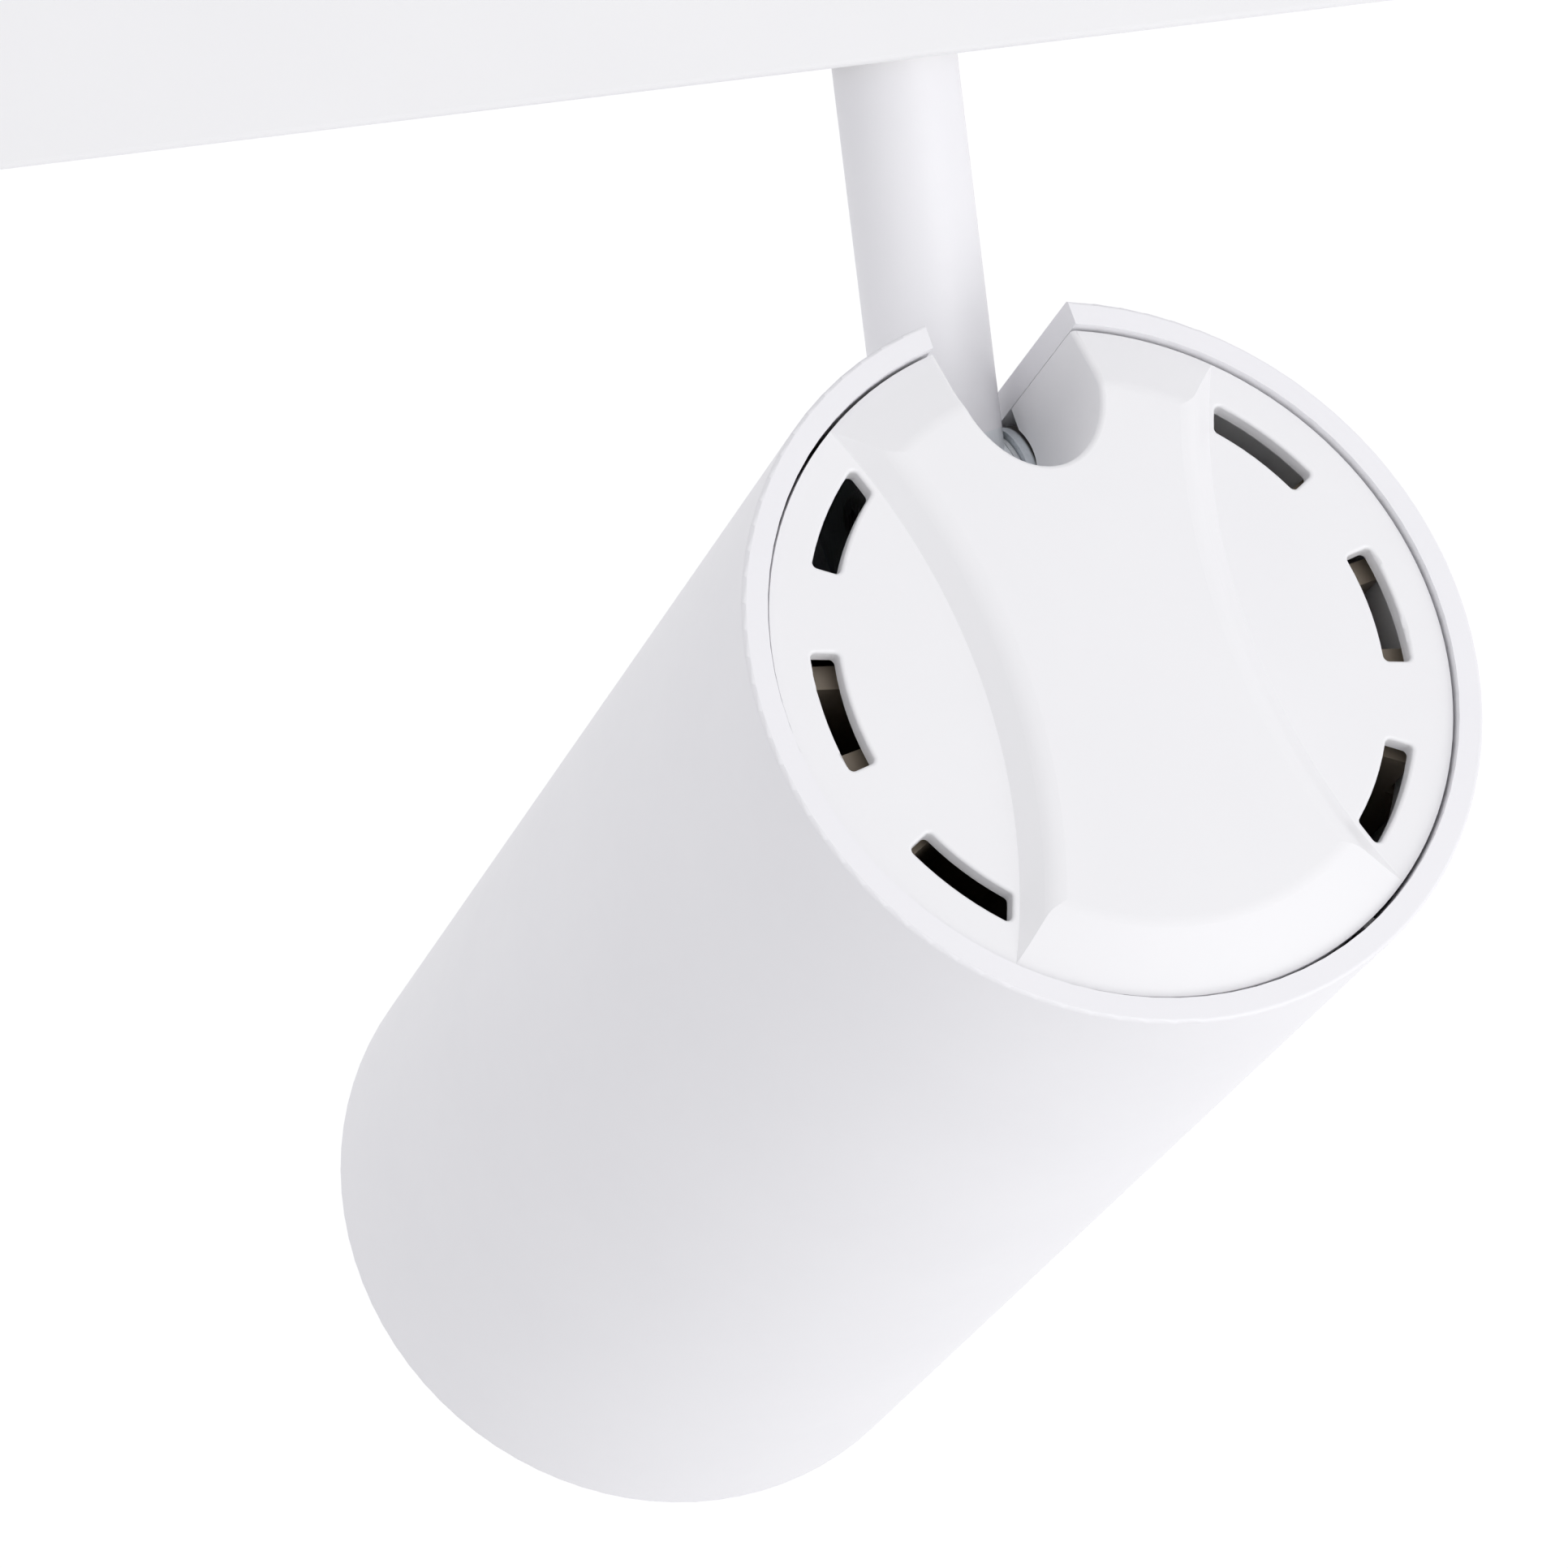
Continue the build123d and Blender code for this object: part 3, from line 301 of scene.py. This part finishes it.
phosphor = surface("phosphor", (0.9, 0.58, 0.02), (0.97, 0.68, 0.05), (0.4, 0.5),
                   grain_scale=9000.0, Subsurface_Weight=0.1)
silicone = surface("silicone", (0.5, 0.5, 0.49), (0.58, 0.58, 0.57), (0.45, 0.55))
zinc = brushed("zinc_steel", (0.78, 0.81, 0.84), (0.85, 0.88, 0.9), (0.3, 0.42), along=2,
               metal=0.15)
# Zinc of the hinge bracket, with painted shade on its edges round the hinge
bracket_zinc_painted_shade = zinc_with_painted_edge_shade()
natural = surface("natural_nylon", (0.56, 0.58, 0.6), (0.64, 0.66, 0.68), (0.4, 0.5))
copper = brushed("enamelled_copper", (0.5, 0.16, 0.05), (0.64, 0.24, 0.09), (0.12, 0.2), along=2)
solder = surface("solder", (0.5, 0.5, 0.51), (0.66, 0.66, 0.67), (0.18, 0.3), drift=900.0,
                 Metallic=1.0)
ceramic = surface("ceramic_body", (0.16, 0.1, 0.06), (0.25, 0.17, 0.11), (0.35, 0.45),
                  drift=300.0)
amber = surface("amber_plastic", (0.6, 0.19, 0.02), (0.7, 0.26, 0.04), (0.35, 0.45))
dam_white = surface("dam_silicone", (0.78, 0.78, 0.76), (0.84, 0.84, 0.82), (0.3, 0.4))
steel = brushed("spring_steel", (0.42, 0.42, 0.43), (0.56, 0.56, 0.57), (0.25, 0.38), along=2,
                relief=1e-6)
nickel = brushed("magnet_nickel", (0.58, 0.56, 0.52), (0.7, 0.68, 0.64), (0.14, 0.24), along=0)
brass = brushed("contact_brass", (0.72, 0.5, 0.2), (0.86, 0.64, 0.3), (0.14, 0.24), along=2,
                relief=1e-6)
nut_brass = brushed("nut_brass", (0.56, 0.42, 0.2), (0.66, 0.5, 0.26), (0.24, 0.34), along=0,
                    relief=1e-6)
mirror = brushed("reflector_metal", (0.82, 0.83, 0.84), (0.87, 0.88, 0.89), (0.13, 0.19), along=1,
                 scale=700.0, relief=2e-7)
glass = clear_glass()

WORN_BY = {
    "head_tube": coat,
    "stem_tube": coat,
    "rear_cap": moulded,
    "adapter_housing": extruded,
    "end_cap_left": extruded,
    "end_cap_right": extruded,
    "adapter_cover": black_plastic,
    "contact_base": black_plastic,
    "driver_chip": black_plastic,
    "friction_washers": black_plastic,
    "anti_glare_ring": baffle_black,
    "contact_block": ivory,
    "driver_terminals": ivory,
    "stem_bushing": ivory,
    "led_holder": ivory,
    "led_board": ivory,
    "stem_leads": insulation,
    "driver_leads": insulation,
    "contact_leads": insulation,
    "head_leads": insulation,
    "heat_sink": anodised,
    "driver_board": board_green,
    "driver_inductor": ferrite,
    "driver_capacitors": sleeve,
    "led_emitter": phosphor,
    "glass_gasket": silicone,
    "stem_knuckle": zinc,
    "pivot_bracket": bracket_zinc_painted_shade,
    "magnets": nickel,
    "magnet_keepers": steel,
    "board_screws": steel,
    "stop_washer": steel,
    "spring_washer": steel,
    "bracket_screws": steel,
    "pivot_screw": steel,
    "pivot_nut": steel,
    "holder_screws": steel,
    "stem_nut": nut_brass,
    "reflector": mirror,
    "front_glass": glass,
}
for number in range(1, 5):
    WORN_BY[f"contact_pin_{number}"] = brass
    WORN_BY[f"contact_spring_{number}"] = steel
for name, finish in WORN_BY.items():
    for held in nodes[name].material_slots:
        held.material = finish


def ring(radius, height, middle=(0.0, 0.0), count=48):
    """Points round the z axis, at a radius that may depend on the angle."""
    points = []
    for step in range(count):
        angle = 2 * pi * step / count
        reach = radius(angle) if callable(radius) else radius
        points.append(Vector((middle[0] + reach * cos(angle), middle[1] + reach * sin(angle),
                              height)))
    return points


def rings_of(profile, middle=(0.0, 0.0), count=48):
    """Rings for a profile of radii and heights."""
    return [ring(radius, height, middle, count) for radius, height in profile]


def hexagon(flats, limit=1000.0):
    """Radius of a hexagon of that width across its flats, turned down to a limit."""
    return lambda angle: min(limit, flats / 2 / cos(angle % (pi / 3) - pi / 6))


def cross(reach, width):
    """Radius of a cross of that reach and width of arm."""
    def radius(angle):
        along, across = max(abs(cos(angle)), 1e-6), max(abs(sin(angle)), 1e-6)
        return max(min(reach / along, width / 2 / across), min(reach / across, width / 2 / along))
    return radius


def skin(shape, rings, place=Matrix(), closed=False):
    """Faces over rings of points, which meet again if closed and end in flat faces if not."""
    made = [[shape.verts.new(place @ point) for point in points] for points in rings]
    for lower, upper in list(zip(made, made[1:])) + ([(made[-1], made[0])] if closed else []):
        for step in range(len(lower)):
            after = (step + 1) % len(lower)
            shape.faces.new((lower[step], lower[after], upper[after], upper[step]))
    if not closed:
        shape.faces.new(made[0][::-1])
        shape.faces.new(made[-1])


def thread(shape, place, radius, pitch, low, high, count=32):
    """Threaded rod between two levels, as one strip that climbs by its pitch at each turn."""
    depths = (0.0, 0.5, 1.0, 0.5)
    turns = int((high - low) / pitch) - 1
    rows = []
    for row in range(len(depths) * turns + 1):
        reach = radius - THREAD_DEPTH * pitch * depths[row % len(depths)]
        rows.append([
            shape.verts.new(place @ Vector((
                reach * cos(2 * pi * step / count),
                reach * sin(2 * pi * step / count),
                low + pitch * (row / len(depths) + step / count),
            )))
            for step in range(count)
        ])
    last = len(rows) - 1
    for row in range(last):
        for step in range(count - 1):
            shape.faces.new((rows[row][step], rows[row][step + 1], rows[row + 1][step + 1],
                             rows[row + 1][step]))
    climb = len(depths)
    for row in range(last - climb):
        shape.faces.new((rows[row][-1], rows[row + climb][0], rows[row + climb + 1][0],
                         rows[row + 1][-1]))
    shape.faces.new(rows[0] + [rows[row][0] for row in range(climb, 0, -1)])
    shape.faces.new(rows[-1] + [rows[row][-1] for row in range(last - 1, last - climb - 1, -1)])


def sweep(shape, points, radius, sides=10):
    """Wire of that radius along points."""
    points = [Vector(point) for point in points]
    normal = (points[1] - points[0]).orthogonal()
    rings = []
    for number, point in enumerate(points):
        along = points[min(number + 1, len(points) - 1)] - points[max(number - 1, 0)]
        along.normalize()
        normal = (normal - along * normal.dot(along)).normalized()
        across = along.cross(normal)
        rings.append([
            point + radius * (cos(2 * pi * side / sides) * normal
                              + sin(2 * pi * side / sides) * across)
            for side in range(sides)
        ])
    skin(shape, rings)


def helix(middle, radius, low, turns, rise, per_turn=24):
    """Points of a coil that starts at a level and has risen by rise(turn) at each turn."""
    points = []
    for step in range(int(turns * per_turn) + 1):
        angle = 2 * pi * step / per_turn
        points.append((middle[0] + radius * cos(angle), middle[1] + radius * sin(angle),
                       low + rise(step / per_turn)))
    return points


def block(shape, middle, size, edge):
    """Block with rounded edges."""
    corners = bmesh.ops.create_cube(shape, size=1.0)["verts"]
    bmesh.ops.scale(shape, vec=size, verts=corners)
    bmesh.ops.translate(shape, vec=middle, verts=corners)
    edges = list({side for corner in corners for side in corner.link_edges})
    bmesh.ops.bevel(shape, geom=edges, offset=edge, segments=3, profile=0.5, affect="EDGES")


def piece(name, shape, finish, body, sharp=35.0):
    """Object from a shape in millimetres, with its finish, riding on its body."""
    bmesh.ops.recalc_face_normals(shape, faces=shape.faces)
    mesh = bpy.data.meshes.new(name)
    shape.to_mesh(mesh)
    shape.free()
    mesh.transform(Matrix.Scale(MM, 4))
    mesh.shade_smooth()
    mesh.set_sharp_from_angle(angle=radians(sharp))
    mesh.materials.append(finish)
    made = bpy.data.objects.new(name, mesh)
    bpy.context.scene.collection.objects.link(made)
    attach(made, body)
    return made


def screw(shape, place, radius, length, head_radius, head_height, recess, depth, pitch,
          plain=0.6):
    """Round-headed screw whose head stands on z = 0, with a plain neck under it."""
    shoulder = 0.3 * head_height
    inner = 0.62 * head_radius
    chamfer = 0.1
    profile = [(radius - THREAD_DEPTH * pitch, -plain - pitch), (radius, -plain), (radius, 0),
               (head_radius - chamfer, 0), (head_radius, chamfer)]
    profile += [
        (inner + (head_radius - inner) * cos(angle),
         shoulder + (head_height - shoulder) * sin(angle))
        for angle in (radians(15 * step) for step in range(7))
    ]
    profile += [(recess, head_height - 0.05), (recess, head_height - depth)]
    skin(shape, rings_of(profile), place)
    thread(shape, place, radius, pitch, -length, -plain)


def socket_screw(shape, place, length, plain=0.6):
    """M3 screw with a round head and a hexagonal recess."""
    screw(shape, place, 1.5, length, 2.75, 1.8, hexagon(2.0), 1.1, 0.5, plain)


def nut(shape, place, flats, bore, height, count=96):
    """Hexagonal nut with turned corners and a countersunk bore."""
    inner, corner = flats / 2, flats / 2 / cos(pi / 6)
    sink = 0.08 * flats
    turned = [(inner + (corner - inner) * share, CHAMFER_RISE * (corner - inner) * share)
              for share in (0.0, 0.33, 0.67, 1.0)]
    profile = [(bore + sink / 2, 0)]
    profile += [(hexagon(flats, limit), level) for limit, level in turned]
    profile += [(hexagon(flats, limit), height - level) for limit, level in reversed(turned)]
    profile += [(bore + sink / 2, height), (bore, height - sink / 2), (bore, sink / 2)]
    skin(shape, rings_of(profile, count=count), place, closed=True)


def make_springs():
    """Coil springs under the contacts, with a closed turn at each end."""
    turns, wire, radius = 9, 0.15, 1.3
    low, high = SPRING_SEAT + wire, SPRING_TOP - wire

    def rise(turn):
        closed = 2 * wire
        open_pitch = (high - low - 2 * closed) / (turns - 2)
        if turn < 1:
            return closed * turn
        if turn > turns - 1:
            return high - low - closed * (turns - turn)
        return closed + open_pitch * (turn - 1)

    for number, x in enumerate(CONTACTS_X, start=1):
        shape = bmesh.new()
        sweep(shape, helix((x, 0), radius, low, turns, rise), wire)
        coil = piece(f"contact_coil_{number}", shape, steel, "adapter")
        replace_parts(coil, f"contact_spring_{number}")
        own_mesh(coil)


def make_fasteners():
    """Screws with their recesses and threads, turned nuts, and the hinge's discs."""
    shape = bmesh.new()
    for x in (25.0, 65.0):
        for y in (-6.5, 6.5):
            screw(shape, Matrix.Translation((x, y, BOARD_TOP)), 1.0, 4.5, 1.9, 1.2,
                  cross(1.05, 0.5), 0.7, 0.4)
    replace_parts(piece("board_cross_screws", shape, steel, "adapter"),
                "board_screws")

    shape = bmesh.new()
    for x in (-11.0, 11.0):
        socket_screw(shape, HEAD_FRAME @ Matrix.Translation((x, 19.8, BRACKET_FACE)), 6.5)
    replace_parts(piece("bracket_socket_screws", shape, steel, "head"),
                "bracket_screws")

    shape = bmesh.new()
    for x in (-16.0, 16.0):
        place = HEAD_FRAME @ Matrix.Translation((x, 0, HOLDER_FACE)) @ Matrix.Rotation(pi, 4, "X")
        socket_screw(shape, place, 8.0, plain=3.0)
    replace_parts(piece("holder_socket_screws", shape, steel, "head"),
                "holder_screws")

    shape = bmesh.new()
    place = (HINGE_FRAME @ Matrix.Translation((-BRACKET_SIDE, 0, 0))
             @ Matrix.Rotation(-pi / 2, 4, "Y"))
    socket_screw(shape, place, 15.6, plain=12.4)
    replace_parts(piece("hinge_socket_screw", shape, steel, "head"),
                "pivot_screw")

    shape = bmesh.new()
    outward = Matrix.Rotation(pi / 2, 4, "Y") @ Matrix.Rotation(pi / 2, 4, "Z")
    nut(shape, HINGE_FRAME @ Matrix.Translation((BRACKET_SIDE, 0, 0)) @ outward, 5.5, 1.52, 2.4)
    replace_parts(piece("hinge_nut", shape, steel, "head", sharp=20.0), "pivot_nut")

    shape = bmesh.new()
    nut(shape, STEM_FRAME @ Matrix.Translation((0, 0, STEM_NUT_SEAT)), 14.0, 5.02, 3.0)
    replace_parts(piece("stem_hexagon_nut", shape, nut_brass, "stem", sharp=20.0),
                "stem_nut")

    shape = bmesh.new()
    profile = ((1.55, 4.55), (4.8, 4.55), (4.95, 4.6), (5.0, 4.7), (5.0, 4.9), (4.95, 5.0),
               (4.8, 5.05), (1.55, 5.05))
    for side in (-1, 1):
        skin(shape, rings_of(profile, count=72),
             HINGE_FRAME @ Matrix.Rotation(side * pi / 2, 4, "Y"), closed=True)
    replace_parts(piece("friction_discs", shape, natural, "head"),
                "friction_washers")


def make_reflector():
    """Reflector with rows of pillowed facets inside, a smooth back and a flat flange."""
    throat_radius, mouth_radius, bow, wall = 8.9, 25.6, 3.0, 1.0
    columns, rows, split = 24, 8, 5
    swell_most = 0.14
    flange_radius, flange_back = 27.7, -100.2
    throat = Vector((throat_radius, HOLDER_FACE))
    mouth = Vector((mouth_radius, GLASS_SEAT))
    chord = mouth - throat
    radius = (chord.length ** 2 / 4 + bow ** 2) / (2 * bow)
    half = asin(chord.length / 2 / radius)
    outward = Vector((-chord.y, chord.x)).normalized()
    centre = (throat + mouth) / 2 - outward * (radius - bow)

    def on_bow(share):
        turn = half * (2 * share - 1)
        return centre + radius * (outward * cos(turn) + chord.normalized() * sin(turn))

    def corner(column):
        angle = 2 * pi * column / columns
        return Vector((cos(angle), sin(angle)))

    levels = [on_bow(row / rows) for row in range(rows + 1)]
    inner = []
    for row in range(rows):
        for part in range(split + (row == rows - 1)):
            down = part / split
            profile = levels[row].lerp(levels[row + 1], down)
            points = []
            for step in range(columns * split):
                column, along = divmod(step, split)
                along /= split
                flat = corner(column).lerp(corner(column + 1), along)
                reach = profile.x - swell_most * 16 * along * (1 - along) * down * (1 - down)
                points.append(Vector((reach * flat.x, reach * flat.y, profile.y)))
            inner.append(points)
    count = columns * split
    outer = [ring(point.x + wall, point.y, count=count)
             for point in (on_bow(step / 12) for step in range(12))]
    flange = rings_of(((mouth_radius + wall, flange_back), (flange_radius, flange_back),
                       (flange_radius, GLASS_SEAT)), count=count)
    shape = bmesh.new()
    skin(shape, outer + flange + inner[::-1], HEAD_FRAME, closed=True)
    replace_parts(piece("faceted_reflector", shape, mirror, "head", sharp=9.0),
                "reflector")


def make_light_source():
    """Dam round the phosphor and the solder joints of the leads on the light source's board."""
    shape = bmesh.new()
    arc = [radians(18 * step) for step in range(11)]
    profile = [(7.2 - 0.4 * cos(angle), LED_FACE - 1.0 * sin(angle)) for angle in arc]
    skin(shape, rings_of(profile, count=96), HEAD_FRAME, closed=True)
    piece("emitter_dam", shape, dam_white, "head")

    shape = bmesh.new()
    profile = ((0.6, LED_FACE), (0.52, -69.8), (0.36, -70.05), (0.2, -70.2))
    for x in (-0.65, 0.65):
        skin(shape, rings_of(profile, (x, 8.05), 20), HEAD_FRAME)
    piece("emitter_solder", shape, solder, "head")


def make_contact_end():
    """Plated magnets with rounded edges, and the solder under the contacts."""
    shape = bmesh.new()
    for x in MAGNETS_X:
        block(shape, (x, 0, -MAGNET_SIZE[2] / 2), MAGNET_SIZE, 0.4)
    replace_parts(piece("magnet_blocks", shape, nickel, "adapter"), "magnets")

    shape = bmesh.new()
    profile = ((0.62, BASE_UNDERSIDE), (1.1, BASE_UNDERSIDE), (0.95, -10.15), (0.72, -10.5),
               (0.62, -10.9))
    for y in (-2.5, 2.5):
        skin(shape, rings_of(profile, (CONTACTS_X[-1], y), 24), closed=True)
    piece("contact_solder", shape, solder, "adapter")


def make_driver_parts():
    """Winding, leads and small parts of the driver's board."""
    shape = bmesh.new()
    pitch, wire, core, winding = 0.45, 0.22, 4.3, 5.3
    coil = helix((INDUCTOR_X, 0), 5.35, -15.52, 9.0, lambda turn: pitch * turn, 36)
    sweep(shape, coil, wire, 8)
    skin(shape, rings_of(((core, -15.7), (winding, -15.7), (winding, -11.3), (core, -11.3)),
                         (INDUCTOR_X, 0)))
    piece("inductor_winding", shape, copper, "adapter")

    shape = bmesh.new()
    gull_wing = ((2.4, -16.2), (2.75, -16.2), (2.95, -16.35), (3.0, -16.75), (3.2, -16.88),
                 (3.7, -16.88))
    for side in (-1, 1):
        for number in range(4):
            y = (number - 1.5) * 1.27
            sweep(shape, [(CHIP_X + side * out, y, level) for out, level in gull_wing], 0.17, 8)
    piece("chip_leads", shape, solder, "adapter")

    bodies, ends = bmesh.new(), bmesh.new()
    for x, y, length, width, height in (
        (29.3, 5.6, 2.0, 1.25, 0.9), (29.3, 3.4, 2.0, 1.25, 0.9), (29.3, 1.2, 1.6, 0.8, 0.5),
        (29.3, -0.6, 1.6, 0.8, 0.5), (29.3, -2.4, 1.6, 0.8, 0.5), (29.3, -5.2, 3.2, 2.5, 1.3),
        (39.2, 6.2, 1.6, 0.8, 0.5), (39.2, 4.6, 1.6, 0.8, 0.5), (39.0, -5.6, 2.0, 1.25, 0.9),
        (69.6, 4.6, 4.2, 2.6, 2.1), (69.6, 0.4, 3.2, 1.6, 0.6), (69.6, -2.6, 3.2, 1.6, 0.6),
    ):
        block(bodies, (x, y, BOARD_TOP + height / 2), (0.7 * length, 0.96 * width, height), 0.06)
        for side in (-1, 1):
            block(ends, (x + side * 0.4 * length, y, BOARD_TOP + 0.51 * height),
                  (0.2 * length, width, 1.02 * height), 0.06)
    piece("board_part_bodies", bodies, ceramic, "adapter")
    piece("board_part_ends", ends, solder, "adapter")

    shape = bmesh.new()
    for y in (-6.0, -2.7, 2.7, 6.0):
        block(shape, (TERMINALS_X, y, -11.9), (1.1, 1.7, 0.6), 0.15)
    piece("terminal_buttons", shape, amber, "adapter")

    shape = bmesh.new()
    profile = ((2.45, CAPACITOR_TOP), (2.45, -8.96), (2.3, -8.93), (cross(2.1, 0.35), -8.93),
               (cross(2.0, 0.25), -8.99))
    for y in (-3.75, 3.75):
        skin(shape, rings_of(profile, (CAPACITORS_X, y)))
    piece("capacitor_vents", shape, solder, "adapter")


def lamp(name, place, aim, power):
    """Square soft light that faces a point."""
    data = bpy.data.lights.new(name, "AREA")
    data.shape = "SQUARE"
    data.size = LAMP_SIZE
    data.energy = power
    made = bpy.data.objects.new(name, data)
    made.location = place
    made.rotation_mode = "QUATERNION"
    made.rotation_quaternion = (aim - place).to_track_quat("-Z", "Y")
    bpy.context.scene.collection.objects.link(made)


def seen_rays(tree):
    """One for camera, glossy and transmitted rays, and zero for diffuse ones."""
    rays = tree.nodes.new("ShaderNodeLightPath")
    first = tree.nodes.new("ShaderNodeMath")
    first.operation = "MAXIMUM"
    second = tree.nodes.new("ShaderNodeMath")
    second.operation = "MAXIMUM"
    links(
        tree,
        (rays.outputs["Is Camera Ray"], first.inputs[0]),
        (rays.outputs["Is Glossy Ray"], first.inputs[1]),
        (first.outputs["Value"], second.inputs[0]),
        (rays.outputs["Is Transmission Ray"], second.inputs[1]),
    )
    return second.outputs["Value"]


def set_world():
    """Even white surroundings, which light the object a little less than they show."""
    world = bpy.data.worlds.new("studio")
    world.use_nodes = True
    bpy.context.scene.world = world
    tree = world.node_tree
    light = tree.nodes["Background"]
    light.inputs["Color"].default_value = (*AMBIENT_COLOUR, 1)
    light.inputs["Strength"].default_value = AMBIENT
    shown = tree.nodes.new("ShaderNodeBackground")
    shown.inputs["Color"].default_value = (1, 1, 1, 1)
    shown.inputs["Strength"].default_value = 1.0
    mix = tree.nodes.new("ShaderNodeMixShader")
    links(
        tree,
        (seen_rays(tree), mix.inputs[0]),
        (light.outputs["Background"], mix.inputs[1]),
        (shown.outputs["Background"], mix.inputs[2]),
        (mix.outputs["Shader"], tree.nodes["World Output"].inputs["Surface"]),
    )


def set_floor():
    """Pale floor well below the hanging lamp, which keeps a faint shadow."""
    mesh = bpy.data.meshes.new("floor")
    half = FLOOR_SIZE / 2
    corners = [(-half, -half), (half, -half), (half, half), (-half, half)]
    mesh.from_pydata([(x, y, -FLOOR_DROP) for x, y in corners], [], [(0, 1, 2, 3)])
    floor = bpy.data.objects.new("floor", mesh)
    bpy.context.scene.collection.objects.link(floor)
    paper, tree, shader = empty_material("floor_paper")
    shader.inputs["Base Color"].default_value = (0.9, 0.9, 0.9, 1)
    shader.inputs["Roughness"].default_value = 0.9
    shown = tree.nodes.new("ShaderNodeEmission")
    share = tree.nodes.new("ShaderNodeMath")
    share.operation = "MULTIPLY"
    share.inputs[1].default_value = FLOOR_SHOWN
    both = tree.nodes.new("ShaderNodeAddShader")
    links(
        tree,
        (seen_rays(tree), share.inputs[0]),
        (share.outputs["Value"], shown.inputs["Strength"]),
        (shader.outputs["BSDF"], both.inputs[0]),
        (shown.outputs["Emission"], both.inputs[1]),
        (both.outputs["Shader"], tree.nodes["Material Output"].inputs["Surface"]),
    )
    mesh.materials.append(paper)


def set_camera():
    """Camera at the photograph's place, with its small roll."""
    data = bpy.data.cameras.new("camera")
    data.lens = CAMERA_LENS
    data.sensor_width = CAMERA_SENSOR
    camera = bpy.data.objects.new("camera", data)
    camera.location = CAMERA_PLACE
    camera.rotation_mode = "QUATERNION"
    level = (CAMERA_AIM - CAMERA_PLACE).to_track_quat("-Z", "Y")
    camera.rotation_quaternion = level @ Quaternion((0, 0, 1), CAMERA_ROLL)
    bpy.context.scene.collection.objects.link(camera)
    bpy.context.scene.camera = camera


make_springs()
make_fasteners()
make_reflector()
make_light_source()
make_contact_end()
make_driver_parts()
set_world()
set_floor()
set_camera()
head_middle = sum(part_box("head_tube"), Vector()) / 2
lamp("key", KEY_PLACE, head_middle, KEY_POWER)
lamp("fill", FILL_PLACE, head_middle, FILL_POWER)
bpy.context.scene.view_settings.view_transform = "Standard"
